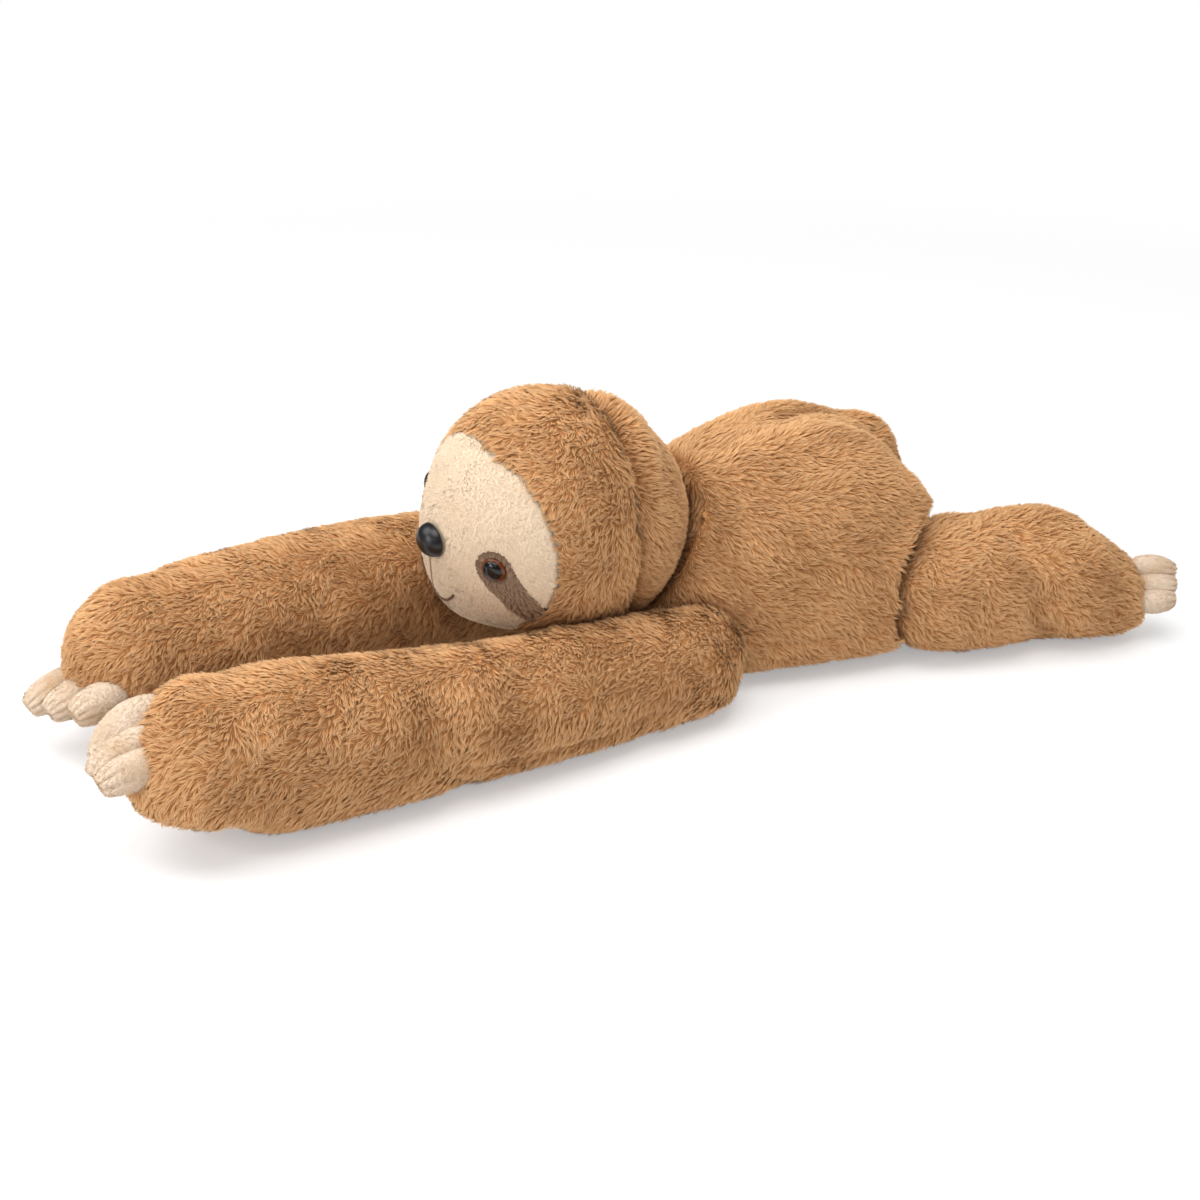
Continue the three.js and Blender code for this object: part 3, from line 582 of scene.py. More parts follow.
def plush_object(name, shell, tufts, finish, tone_seed):
    """A closed shell of backing cloth and the tufts that stand on it, as one piece with a pile map."""
    shell.verts.index_update()
    base = points_of(shell)
    faces = [[v.index for v in f.verts] for f in shell.faces]
    shell.normal_update()
    base_normals = np.array([v.normal[:] for v in shell.verts])
    places, softs, maps = tufts
    count = len(places) // len(TUFT)
    first = np.arange(count) * len(TUFT) + len(base)
    tuft_faces = (TUFT_FACES[None] + first[:, None, None]).reshape(-1, 3)
    sizes = np.array([len(f) for f in faces] + [3] * len(tuft_faces))
    corners = np.concatenate([np.array([i for f in faces for i in f], int), tuft_faces.reshape(-1)])
    vertices = np.concatenate([base, places])
    mesh = bpy.data.meshes.new(name)
    mesh.vertices.add(len(vertices))
    mesh.vertices.foreach_set("co", vertices.astype(np.float32).ravel())
    mesh.loops.add(len(corners))
    mesh.loops.foreach_set("vertex_index", corners.astype(np.int32))
    mesh.polygons.add(len(sizes))
    mesh.polygons.foreach_set("loop_start", np.concatenate([[0], np.cumsum(sizes)[:-1]]).astype(np.int32))
    mesh.update(calc_edges=True)
    layer = mesh.uv_layers.new(name="OFBake")
    tone = np.clip(0.45 + 0.2 * Ripple(tone_seed, 0.03)(base), 0.05, 0.95)
    cloth_map = []
    for f in faces:
        middle = float(np.mean(tone[f]))
        for angle in np.arange(len(f)) * (2 * math.pi / len(f)):
            cloth_map.append((middle + 0.012 * math.cos(angle), 0.30 + 0.03 * math.sin(angle)))
    tuft_map = maps[corners[len(cloth_map) :] - len(base)]
    pile_map = np.concatenate([np.array(cloth_map), tuft_map])
    layer.uv.foreach_set("vector", pile_map.astype(np.float32).ravel())
    mesh.validate()
    mesh.shade_smooth()
    mesh.normals_split_custom_set_from_vertices(np.concatenate([base_normals, softs]).astype(np.float32))
    mesh.materials.append(finish)
    return new_object(name, mesh)


def thickened(bm, thickness):
    """Gives an open sheet its thickness, inwards, so that it is closed."""
    bm.normal_update()
    outside = bm.faces[:]
    inwards = {v: v.normal * -thickness for v in bm.verts}
    places = {v: v.co.copy() for v in bm.verts}
    made = bmesh.ops.extrude_face_region(bm, geom=outside, use_keep_orig=True)["geom"]
    fresh = [e for e in made if isinstance(e, bmesh.types.BMVert)]
    near = KDTree(len(places))
    old = list(places)
    for place, vertex in enumerate(old):
        near.insert(places[vertex], place)
    near.balance()
    for vertex in fresh:
        vertex.co += inwards[old[near.find(vertex.co)[1]]]
    bmesh.ops.recalc_face_normals(bm, faces=bm.faces)
    return bm


def part_of(skin, chosen):
    part = skin.copy()
    part.faces.ensure_lookup_table()
    spare = [part.faces[i] for i in range(len(part.faces)) if not chosen[i]]
    bmesh.ops.delete(part, geom=spare, context="FACES")
    return part


def shell_of(skin, chosen, thickness):
    """The chosen faces of a skin as a closed shell of cloth."""
    return thickened(part_of(skin, chosen), thickness)


def nearest_node(points, nodes):
    """Which of the named CAD nodes lies nearest each point."""
    distances = []
    for node in nodes:
        bm = merged_copy([node])
        tree = BVHTree.FromBMesh(bm)
        distances.append([tree.find_nearest(Vector(p))[3] for p in points])
        bm.free()
    return np.argmin(np.array(distances), 0)


SKINS = {}


def cover(body):
    """Trees of the skins of all other bodies."""
    return [BVHTree.FromBMesh(skin) for name, skin in SKINS.items() if name != body]


def exposure(surface, trees, near=0.010, hidden=0.4):
    """How much pile each triangle gets: less where a neighbour covers it or it lies on the floor."""
    weights = np.ones(len(surface.areas))
    for k, (middle, normal) in enumerate(zip(surface.middles, surface.facing)):
        at, way = Vector(middle), Vector(normal)
        if any(tree.ray_cast(at, way, near)[0] for tree in trees):
            weights[k] = hidden
    weights[(surface.facing[:, 2] < -0.6) & (surface.middles[:, 2] < 0.02)] = 0.35
    return weights


def part_surface(skin, chosen):
    part = part_of(skin, chosen)
    surface = Surface(part)
    part.free()
    return surface


def face_middles(skin):
    return np.array([f.calc_center_median()[:] for f in skin.faces])


def fur_piece(name, body, node, skin, chosen, flow, coat, seed, bare=None):
    """One panel of fur: a shell of backing cloth with its pile."""
    surface = part_surface(skin, chosen)
    weights = exposure(surface, cover(body))
    if bare is not None:
        weights = np.where(bare(surface.middles), 0.0, weights)
    points, normals, _ = surface.sow(coat.spacing, weights, seed)
    tufts = pile(points, normals, flow(points), coat, seed)
    tufts[0][:, 2] = np.maximum(tufts[0][:, 2], FLOOR_GAP)
    piece = plush_object(name, shell_of(skin, chosen, CLOTH), tufts, finish_of("fur"), seed)
    finish_soft(piece, body, "fur", node)


def keep_inside(core, skin, depth):
    """Draws a core in wherever it lies less than a depth under a skin."""
    tree = BVHTree.FromBMesh(skin)
    for vertex in core.verts:
        place, normal = tree.find_nearest(vertex.co)[:2]
        short = depth - (place - vertex.co).dot(normal)
        if short > 0:
            vertex.co -= normal * short


def filling_piece(body, node):
    core = remeshed(merged_copy([node]), WADDING_CELL)
    soften(core, 3)
    keep_inside(core, SKINS[body], WADDING_DEPTH)
    piece = new_object(node + "_wadding", mesh_from(core, node))
    piece.data.materials.append(finish_of("fibrefill"))
    finish_soft(piece, body, "fibrefill", node)


def fur_panels(body, panels, stuffing, flow, coat, seed):
    """Cuts a skin into its panels, covers each with fur and adds the filling inside."""
    skin = SKINS[body]
    owner = nearest_node(face_middles(skin), panels)
    for place, panel in enumerate(panels):
        fur_piece(panel + "_plush", body, panel, skin, owner == place, flow, coat, seed + place)
    filling_piece(body, stuffing)


def finish_soft(piece, body, slot, *nodes):
    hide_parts(*nodes)
    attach(piece, body)


# Head directions and surface


def face_direction(from_front, clock):
    aside = FACE_LEFT * math.sin(clock) + FACE_UP * math.cos(clock)
    return FACE_FRONT * math.cos(from_front) + aside * math.sin(from_front)


MUZZLE = face_direction(MUZZLE_BELOW, math.pi)
CHIN = face_direction(CHIN_BELOW, math.pi)
FACE_DISCS = (
    face_direction(FACE_NEAR_TURN, math.pi / 2),
    face_direction(FACE_FAR_TURN, -math.pi / 2),
    face_direction(FACE_DROP, math.pi),
)


def head_radius(ways):
    """Distance of the head's outline from its middle, for unit directions."""
    axes = np.array([FACE_LEFT / HEAD_HALF[0], FACE_FRONT / HEAD_HALF[1], FACE_UP / HEAD_HALF[2]])
    ball = 1 / np.linalg.norm(ways @ axes.T, axis=1)
    away = np.arccos(np.clip(ways @ np.array(MUZZLE), -1, 1)) / MUZZLE_SPREAD
    down = np.arccos(np.clip(ways @ np.array(CHIN), -1, 1)) / CHIN_SPREAD
    return ball + MUZZLE_LIFT * np.exp(-(away**2)) + CHIN_LIFT * np.exp(-(down**2))


def head_point(way, inset):
    way = Vector(way).normalized()
    return HEAD_CENTRE + way * float(head_radius(np.array([way[:]]))[0] - inset)


def face_axes(way):
    across = FACE_UP.cross(way).normalized()
    return across, way.cross(across)


def head_ways(points):
    return unit(points - np.array(HEAD_CENTRE))


def seam_offset(points):
    """Distance behind the plane where the roll of fur is sewn to the crown."""
    return points[:, 1] - (NECK.y + SEAM_BEHIND)


def in_face(points, radius):
    """Whether points lie in the face, a wide oval joined from three discs."""
    away = points - np.array(HEAD_CENTRE)
    inside = np.zeros(len(points), bool)
    for disc in FACE_DISCS:
        ahead = away @ np.array(disc)
        inside |= (np.linalg.norm(away - ahead[:, None] * np.array(disc), axis=1) < radius) & (ahead > 0)
    return inside


def on_border(points):
    return in_face(points, FACE_BORDER)


def roll_reach(ways):
    """Distance from the head's middle out to the roll behind it, for unit directions."""
    start = np.array(HEAD_CENTRE - NECK) / np.array(ROLL_HALF)
    step = ways / np.array(ROLL_HALF)
    a, b, c = (step * step).sum(1), step @ start, start @ start - 1
    return (np.sqrt(b * b - a * c) - b) / a


def head_skin(inset):
    """Crown, face and roll as one skin, with a deep groove where the roll is sewn on."""
    bm = bmesh.new()
    bmesh.ops.create_icosphere(bm, subdivisions=6, radius=1)
    ways = unit(points_of(bm))
    ball, roll = head_radius(ways), roll_reach(ways)
    reach = np.maximum(ball, roll) + HEAD_BLEND * np.log1p(np.exp(-np.abs(ball - roll) / HEAD_BLEND))
    places = np.array(HEAD_CENTRE) + ways * (reach - inset)[:, None]
    seam = seam_offset(places)
    slope = np.arctan2(places[:, 2] - NECK.z, places[:, 1] - NECK.y)
    raised = ROLL_LIFT * smoothstep(*ROLL_LIFT_BEHIND, seam) * smoothstep(*ROLL_LIFT_SLOPES, slope)
    tuck = SEAM_DEPTH * np.exp(-((seam / SEAM_WIDTH) ** 2)) - raised
    places = places - ways * tuck[:, None]
    for vertex, place in zip(bm.verts, places):
        vertex.co = place
    return bm


# Eyes, patches, nose and mouth


def eye_way(side):
    return face_direction(EYES_FROM_FRONT[side], side * EYE_CLOCK)


EYE_SEATS = {side: head_point(eye_way(side), EYE_INSETS[side]) for side in SIDES}
NOSE_WAY = face_direction(NOSE_BELOW, math.pi)
NOSE_SEAT = head_point(NOSE_WAY, 0.0025)


def mouth_line(pixels, inset):
    """Places on the face that the camera sees at the pixels."""
    bm = bmesh.new()
    bmesh.ops.create_icosphere(bm, subdivisions=6, radius=1)
    for vertex in bm.verts:
        vertex.co = head_point(vertex.co, inset)
    line = photo_line(bm, pixels)
    bm.free()
    return line


def mirrored(place):
    """The same place on the other side of the face."""
    return place - FACE_LEFT * (2 * (place - HEAD_CENTRE).dot(FACE_LEFT))


PHILTRUM = mouth_line(PHILTRUM_PIXELS, PHILTRUM_INSET)
SMILE = mouth_line(SMILE_PIXELS, SMILE_INSET)


def thread(name, places, radius):
    """A stitched thread through places on the face."""
    curve = bpy.data.curves.new(name, "CURVE")
    curve.dimensions = "3D"
    curve.bevel_depth = radius
    curve.bevel_resolution = 2
    curve.use_fill_caps = True
    spline = curve.splines.new("NURBS")
    spline.points.add(len(places) - 1)
    for point, place in zip(spline.points, places):
        point.co = (*place, 1)
    spline.order_u = 4
    spline.use_endpoint_u = True
    holder = new_object(name, curve)
    graph = bpy.context.evaluated_depsgraph_get()
    mesh = bpy.data.meshes.new_from_object(holder.evaluated_get(graph))
    bpy.data.objects.remove(holder)
    bm = bmesh.new()
    bm.from_mesh(mesh)
    bmesh.ops.remove_doubles(bm, verts=bm.verts, dist=1e-6)
    bmesh.ops.recalc_face_normals(bm, faces=bm.faces)
    mesh = mesh_from(bm, name)
    mesh.shade_smooth()
    return new_object(name, mesh)


def face_relief(places):
    """Dents of the face: the eye sockets and the line under the nose."""
    dent = np.zeros(len(places))
    for seat in EYE_SEATS.values():
        away = np.linalg.norm(places - np.array(seat), axis=1)
        dent += SOCKET_DEPTH * np.exp(-((away / SOCKET_WIDTH) ** 2))
    line = np.array([p[:] for p in PHILTRUM])
    dent += PHILTRUM_DEPTH * np.exp(-((line_distance(places, line) / PHILTRUM_WIDTH) ** 2))
    return dent


def on_face(ways, inset):
    ways = unit(ways)
    places = np.array(HEAD_CENTRE) + ways * (head_radius(ways) - inset)[:, None]
    return places - ways * face_relief(places)[:, None]


def patch_place(points, side):
    """Place along and across the patch of one eye, in metres."""
    way = eye_way(side)
    across, upright = face_axes(way)
    away = points - np.array(HEAD_CENTRE)
    x, y = away @ np.array(across), away @ np.array(upright)
    c, s = side * math.cos(PATCH_FALL), -math.sin(PATCH_FALL)
    ahead = away @ np.array(way)
    return x * c + y * s, -x * s + y * c, ahead


def patch_margin(along, aside):
    """How far inside the patch outline a place is."""
    t = np.clip(along / PATCH_LENGTH, 0, 1)
    radius = PATCH_RADIUS + (PATCH_TIP - PATCH_RADIUS) * t
    return radius - np.hypot(along - t * PATCH_LENGTH, aside)


def in_patch(points, grow=0.0):
    inside = np.zeros(len(points), bool)
    for side in SIDES:
        along, aside, ahead = patch_place(points, side)
        inside |= (patch_margin(along, aside) > -grow) & (ahead > 0)
    return inside


def settled_ball(segments, rings):
    """A ball of rings round +Z. Its faces are laid again in order, because they come in any order."""
    bm = bmesh.new()
    bmesh.ops.create_uvsphere(bm, u_segments=segments, v_segments=rings, radius=1)
    bm.verts.index_update()
    outlines = []
    for face in bm.faces:
        outline = [vertex.index for vertex in face.verts]
        first = outline.index(min(outline))
        outlines.append(outline[first:] + outline[:first])
    bmesh.ops.delete(bm, geom=bm.edges[:] + bm.faces[:], context="EDGES_FACES")
    places = bm.verts[:]
    for outline in sorted(outlines):
        bm.faces.new([places[index] for index in outline])
    return bm


def cap(segments, rings, axis, spread):
    """Part of a ball round an axis, out to an angle."""
    bm = settled_ball(segments, rings)
    turn = Vector((0, 0, 1)).rotation_difference(axis).to_matrix()
    spare = [v for v in bm.verts if v.co.angle(Vector((0, 0, 1))) > spread + 1e-4]
    bmesh.ops.delete(bm, geom=spare, context="VERTS")
    bmesh.ops.rotate(bm, verts=bm.verts, cent=(0, 0, 0), matrix=turn)
    return bm


def move_to(bm, places):
    for vertex, place in zip(list(bm.verts), places):
        vertex.co = place
    bm.normal_update()


def face_mesh(inset):
    bm = cap(176, 176, FACE_FRONT, math.radians(78))
    places = on_face(points_of(bm), inset)
    under = ~in_face(places, FACE_RADIUS - 0.001)
    move_to(bm, places - head_ways(places) * (FACE_TUCK * under)[:, None])
    soften(bm, 1)
    middles = face_middles(bm)
    spare = ~in_face(middles, FACE_RADIUS + 0.003) | in_patch(middles, -0.0008)
    bmesh.ops.delete(bm, geom=[f for f, out in zip(bm.faces[:], spare) if out], context="FACES")
    return bm


def patch_mesh(side, inset):
    """A polar sheet fitted to the drop shape of the patch."""
    bm = cap(72, 28, Vector((0, 0, 1)), math.radians(90))
    start = points_of(bm)
    around = np.arctan2(start[:, 1], start[:, 0])
    radius = np.arccos(np.clip(start[:, 2], -1, 1)) / (math.pi / 2)
    low, high = np.zeros(len(start)), np.full(len(start), PATCH_REACH)
    for _ in range(24):
        middle = (low + high) / 2
        inside = patch_margin(PATCH_MIDDLE + middle * np.cos(around), middle * np.sin(around)) > 0
        low, high = np.where(inside, middle, low), np.where(inside, high, middle)
    along = PATCH_MIDDLE + radius * low * np.cos(around)
    aside = radius * low * np.sin(around)
    way = eye_way(side)
    across, upright = (np.array(a) for a in face_axes(way))
    c, s = side * math.cos(PATCH_FALL), -math.sin(PATCH_FALL)
    x, y = along * c - aside * s, along * s + aside * c
    ways = unit(np.array(way)[None] * HEAD_HALF[1] + x[:, None] * across + y[:, None] * upright)
    # The outline is a prism along the eye's own direction, dropped on the head
    for _ in range(6):
        radius_here = head_radius(ways)
        depth = np.sqrt(np.maximum(radius_here**2 - x**2 - y**2, 1e-6))
        ways = unit(np.array(way)[None] * depth[:, None] + x[:, None] * across + y[:, None] * upright)
    move_to(bm, on_face(ways, inset))
    spare = ~in_face(face_middles(bm), FACE_RADIUS + 0.002)
    bmesh.ops.delete(bm, geom=[f for f, out in zip(bm.faces[:], spare) if out], context="FACES")
    return bm


def closed_sheet(bm, outwards, thickness):
    """Gives a sheet its thickness, inwards, and turns it right side out."""
    bm.normal_update()
    middle = bm.faces[:][len(bm.faces) // 2]
    if middle.normal.dot(outwards) < 0:
        bmesh.ops.reverse_faces(bm, faces=bm.faces)
    return thickened(bm, thickness)


def button(name, way, seat, half_width, half_height, profile):
    """A turned button on the face: a profile of (radius share, height) pairs spun round its axis."""
    bm = bmesh.new()
    chain = [bm.verts.new((r * half_width, 0, z)) for r, z in profile]
    edges = [bm.edges.new(pair) for pair in zip(chain[:-1], chain[1:])]
    turned = {"cent": (0, 0, 0), "axis": (0, 0, 1), "angle": 2 * math.pi}
    bmesh.ops.spin(bm, geom=chain + edges, steps=64, use_merge=True, **turned)
    bmesh.ops.remove_doubles(bm, verts=bm.verts, dist=1e-6)
    bmesh.ops.scale(bm, vec=(1, half_height / half_width, 1), verts=bm.verts)
    across, upright = face_axes(way)
    turn = Matrix((across, upright, way)).transposed()
    bmesh.ops.rotate(bm, verts=bm.verts, cent=(0, 0, 0), matrix=turn)
    bmesh.ops.translate(bm, verts=bm.verts, vec=seat)
    bmesh.ops.recalc_face_normals(bm, faces=bm.faces)
    mesh = mesh_from(bm, name)
    mesh.shade_smooth()
    return new_object(name, mesh)


def dome(height, foot, steps=16):
    return [(math.sin(a), foot + (height - foot) * math.cos(a)) for a in np.linspace(0, math.pi / 2, steps)]


IRIS_PROFILE = dome(0.0044, 0.0006) + [(0.97, 0.0001), (0.9, -0.0004), (0.0, -0.0004)]
PUPIL_PROFILE = dome(0.0058, 0.0022) + [(0.0, 0.0016)]
PUPIL_SHIFT = 0.0005
NOSE_PROFILE = dome(0.0102, 0.0006, 24) + [(0.97, 0.0002), (0.9, -0.0004), (0.0, -0.0004)]


# Claws and toes


class Digits:
    """A row of three stuffed lobes at the end of a limb, told from the limb's joint.

    The row points straight ahead (forwards -1) or behind (1), turned by an angle towards +X. It is tilted
    down towards its last lobe, and each lobe curls by its own angle towards the bend.
    """

    def __init__(
        self, word, joint, root, forwards, angle, outwards, tilt, spacing, girth, reaches, curls, bend
    ):
        self.word = word
        self.root = JOINT_AT[joint] + Vector(root)
        self.ahead = Vector((math.sin(math.radians(angle)), forwards * math.cos(math.radians(angle)), 0))
        level = Vector((0, 0, 1)).cross(self.ahead) * outwards
        tilt = math.radians(tilt)
        self.row = level * math.cos(tilt) - Vector((0, 0, 1)) * math.sin(tilt)
        self.spacing = spacing
        self.girth = girth
        self.reaches = reaches
        self.curls = curls
        bend = Vector(bend)
        self.bend = (bend - self.ahead * bend.dot(self.ahead)).normalized()


TOES = {
    "word": "toe",
    "forwards": 1,
    "tilt": 55,
    "spacing": 0.011,
    "girth": 0.010,
    "reaches": (0.0350, 0.0340, 0.0315),
    "curls": (0.25, 0.15, 0.05),
    "bend": (0, 0, -1),
}
DIGITS = {
    "arm_left": Digits(
        word="claw",
        joint="shoulder_left",
        root=(-0.0115, -0.3240, 0.0350),
        forwards=-1,
        angle=-5.5,
        outwards=1,
        tilt=39,
        spacing=0.0145,
        girth=0.0120,
        reaches=(0.0500, 0.0500, 0.0460),
        curls=(1.15, 0.75, 0.35),
        bend=(0.5, 0, -0.85),
    ),
    "arm_right": Digits(
        word="claw",
        joint="shoulder_right",
        root=(0.0045, -0.3240, 0.0060),
        forwards=-1,
        angle=6.44,
        outwards=-1,
        tilt=8,
        spacing=0.0235,
        girth=0.0120,
        reaches=(0.0370, 0.0450, 0.0500),
        curls=(0.35, 0.4, 0.45),
        bend=(0.15, 0, -1),
    ),
    "leg_left": Digits(
        joint="hip_left",
        root=(0.0525, 0.1235, -0.0095),
        angle=24.27,
        outwards=-1,
        **TOES,
    ),
    "leg_right": Digits(
        joint="hip_right",
        root=(-0.0778, 0.1053, -0.0095),
        angle=-38.27,
        outwards=1,
        **TOES,
    ),
}
LOBE_DIMPLE = 0.0035
LOBE_PLEATS = 5.5


def lobe(digits, index, inset, pleat):
    """A curled stuffed lobe whose end is gathered round a stitched dimple, and the painted shade of each
    point.
    """
    start = digits.root + digits.row * ((index - 1) * digits.spacing)
    reach = digits.reaches[index]
    bm = settled_ball(72, 40)
    ball = points_of(bm)
    polar = np.arccos(np.clip(-ball[:, 2], -1, 1))
    around = np.arctan2(ball[:, 1], ball[:, 0])
    along = reach / 2 * (1 - np.cos(polar))
    thick = (digits.girth - inset) * np.sin(polar) ** 0.7
    gather = smoothstep(1.5, 2.5, polar)
    fold = np.abs(np.cos(LOBE_PLEATS * around + 0.5 * np.sin(2 * around + index) + index)) ** 0.6
    thick = thick - pleat * (1 - fold) * gather
    along = along - inset * (1 - np.cos(polar)) / 2
    along = along - LOBE_DIMPLE * np.exp(-(((math.pi - polar) / 0.3) ** 2))
    curl = digits.curls[index]
    turn = curl * along / reach
    ahead, bend = np.array(digits.ahead), np.array(digits.bend)
    beside = np.cross(ahead, bend)
    sine, cosine = np.sin(turn)[:, None], np.cos(turn)[:, None]
    centre = np.array(start) + (ahead * sine + bend * (1 - cosine)) * (reach / curl)
    inner = bend * cosine - ahead * sine
    places = centre + (thick * np.cos(around))[:, None] * beside + (thick * np.sin(around))[:, None] * inner
    places[:, 2] = np.maximum(places[:, 2], 0.0005)
    move_to(bm, places)
    bmesh.ops.recalc_face_normals(bm, faces=bm.faces)
    # Painted shade: the pile is darker in the valleys of the pleats and in the dimple at the end of the
    # lobe.
    painted_shade = 0.35 * gather * (1 - fold) + 0.25 * np.exp(-(((math.pi - polar) / 0.4) ** 2))
    return bm, painted_shade


# Finishes


def fur_finish():
    kit = settings().fur
    return pile_finish("Camel fur", kit.root, kit.body, kit.tip, (0.55, 0.48, 0.42))


def face_finish():
    cream = settings().face.cream
    root, body = scaled(cream, 0.78), scaled(cream, 0.94)
    return pile_finish("Cream face plush", root, body, cream, (0.9, 0.88, 0.85))


def patch_finish():
    taupe = settings().face.taupe
    root, tip = scaled(taupe, 0.5), scaled(taupe, 1.5)
    return pile_finish("Taupe patch plush", root, taupe, tip, (0.6, 0.55, 0.5))


def claw_finish():
    cream = settings().claws.cream
    root, body = scaled(cream, 0.78), scaled(cream, 0.95)
    # The dark end of the tone ramp gives random tone and the painted shade in the pleats and dimples of the
    # claws.
    return pile_finish("Pale claw velvet", root, body, cream, (0.7, 0.56, 0.4))


def wadding_finish():
    finish = Finish("White wadding")
    tint = finish.mix(finish.noise(160), (0.78, 0.77, 0.72), (0.92, 0.91, 0.88))
    return finish.set(Base_Color=tint, Roughness=0.95, Normal=finish.bump(finish.noise(420), 0.0008))


def black_finish(name, unevenness, plain, shine):
    finish = Finish(name)
    black = tuple(settings().buttons.black)
    tint = finish.mix(finish.noise(300), black, scaled(black, 1.8))
    rough = finish.noise(900) * unevenness + plain
    return finish.set(Base_Color=tint, Roughness=rough, Specular_IOR_Level=shine)


def pupil_finish():
    return black_finish("Polished black plastic", 0.04, 0.08, 0.4)


def nose_finish():
    return black_finish("Satin black plastic", 0.08, 0.30, 0.5)


def iris_finish():
    finish = Finish("Amber brown plastic")
    brown = tuple(settings().buttons.brown)
    tint = finish.mix(finish.noise(500), scaled(brown, 0.7), scaled(brown, 1.5))
    return finish.set(Base_Color=tint, Roughness=0.14, Specular_IOR_Level=0.35)


def washer_finish():
    finish = Finish("Natural white plastic")
    tint = finish.mix(finish.noise(250), (0.66, 0.64, 0.58), (0.78, 0.76, 0.7))
    return finish.set(Base_Color=tint, Roughness=0.45, Normal=finish.bump(finish.noise(1500), 0.0001))


def thread_finish(name, brown):
    finish = Finish(name)
    setup = {"bands_direction": "DIAGONAL"}
    wave = finish.node("ShaderNodeTexWave", setup, {"Vector": finish.place(), "Scale": 700})
    tint = finish.mix(wave, scaled(brown, 0.6), scaled(brown, 1.3))
    return finish.set(Base_Color=tint, Roughness=0.8, Normal=finish.bump(wave, 0.0002))


def smile_finish():
    return thread_finish("Mouth thread", tuple(settings().buttons.thread))


def philtrum_finish():
    return thread_finish("Pale thread", tuple(settings().buttons.crease))


MAKERS = {
    "fur": fur_finish,
    "face_plush": face_finish,
    "patch_plush": patch_finish,
    "claw_plush": claw_finish,
    "fibrefill": wadding_finish,
    "black_plastic": pupil_finish,
    "satin_plastic": nose_finish,
    "brown_plastic": iris_finish,
    "washer_plastic": washer_finish,
    "thread": smile_finish,
    "pale_thread": philtrum_finish,
}
FINISHES = {}


def finish_of(look):
    """The finish of a material slot, or of a second look that the slot has, made once."""
    if look not in FINISHES:
        FINISHES[look] = MAKERS[look]()
    return FINISHES[look]


# How the fur lies, where the cloth folds and where it bulges


FAN_MIDDLE = 0.015
FAN_WIDTH = 0.05
FACE_FRINGE = 0.009


def steady_flow(direction, spread=0.0):
    """Pile that lies along one direction, fanned out to the sides."""

    def flow(points):
        lie = np.tile(np.array(direction, float), (len(points), 1))
        lie[:, 0] += spread * np.tanh((points[:, 0] - FAN_MIDDLE) / FAN_WIDTH)
        return lie

    return flow


def crown_flow(points):
    """Pile that lies away from a whorl high on the back of the head, and over the edge of the face."""
    whorl = HEAD_CENTRE + FACE_UP * 0.06 - FACE_FRONT * 0.045
    inwards = unit(np.array(HEAD_CENTRE + FACE_FRONT * 0.075) - points)
    edge = in_face(points, FACE_RADIUS + FACE_FRINGE) * 0.9
    return unit(points - np.array(whorl)) + inwards * edge[:, None]


LIMBS = {
    "arm_left": steady_flow((0.1, -1, -0.5)),
    "arm_right": steady_flow((-0.1, -1, -0.5)),
    "leg_left": steady_flow((0.35, 1, -0.5)),
    "leg_right": steady_flow((-0.45, 1, -0.5)),
}
TORSO_PANELS = ["torso_back_left", "torso_back_right", "torso_belly_panel"]

# Folds as the photograph shows them: pixels along the fold, its depth and its half width
SPINE = ((780, 414), (797, 410), (820, 408), (848, 412), (875, 428), (898, 455), (908, 480))
FOLDS = {
    "torso": [
        (((690, 430), (698, 500), (716, 560), (745, 620)), 0.006, 0.010),
        (((722, 450), (740, 520), (752, 580)), 0.0025, 0.008),
        (((768, 647), (820, 640), (882, 628)), 0.003, 0.004),
        (SPINE, 0.007, 0.007),
        (((905, 520), (890, 545), (905, 600)), 0.004, 0.010),
    ],
    "arm_left": [
        (((478, 772), (530, 756), (600, 738), (660, 716)), 0.004, 0.004),
        (((440, 690), (455, 735), (472, 782)), 0.005, 0.012),
        (((600, 680), (625, 700), (655, 716)), 0.004, 0.011),
        (((700, 600), (730, 640), (742, 680)), 0.005, 0.010),
    ],
    "arm_right": [
        (((170, 575), (200, 590), (230, 620)), 0.003, 0.012),
        (((300, 560), (330, 600)), 0.003, 0.012),
    ],
    "leg_left": [
        (((1018, 540), (1036, 570), (1046, 605)), 0.006, 0.012),
        (((1046, 605), (1048, 625), (1048, 634)), 0.008, 0.013),
        (((1062, 600), (1085, 607), (1110, 611)), 0.004, 0.007),
        (((935, 525), (925, 560), (930, 600)), 0.003, 0.012),
    ],
}

# Bulges: of the hands, full at half height and short below, of the near leg and of the far rump
HAND_SPAN = (0.285, 0.325)
HAND_FULL = {"arm_left": 0.0105, "arm_right": 0.0075}
HAND_SHORT = {"arm_left": 0.013, "arm_right": 0.002}
SHIN_FULL = 0.006
THIGH_SHORT = 0.004
FAR_RUMP = Vector((-0.044, 0.273, 0.026))
RUMP_FULL = 0.023
RUMP_WIDTH = 0.030


def fullness(body, points):
    """How far the stuffing bulges past the plain form, or with a minus sign falls short of it."""
    height = points[:, 2]
    if body.startswith("arm"):
        hand = smoothstep(*HAND_SPAN, JOINT_AT["shoulder_left"].y - points[:, 1])
        full = HAND_FULL[body] * smoothstep(0.016, 0.036, height)
        return hand * (full - HAND_SHORT[body] * (1 - smoothstep(0.012, 0.032, height)))
    if body == "leg_left":
        along = points[:, 1] - JOINT_AT["hip_left"].y
        shin = SHIN_FULL * (smoothstep(0.03, 0.07, along) - smoothstep(0.085, 0.105, along))
        shin = shin - THIGH_SHORT * (1 - smoothstep(0.0, 0.04, along))
        return shin * smoothstep(0.02, 0.045, height)
    if body == "torso":
        away = np.linalg.norm(points - np.array(NECK + FAR_RUMP), axis=1)
        return RUMP_FULL * np.exp(-((away / RUMP_WIDTH) ** 2))
    return 0.0


# Operators, one for each group of pieces and one for the stage


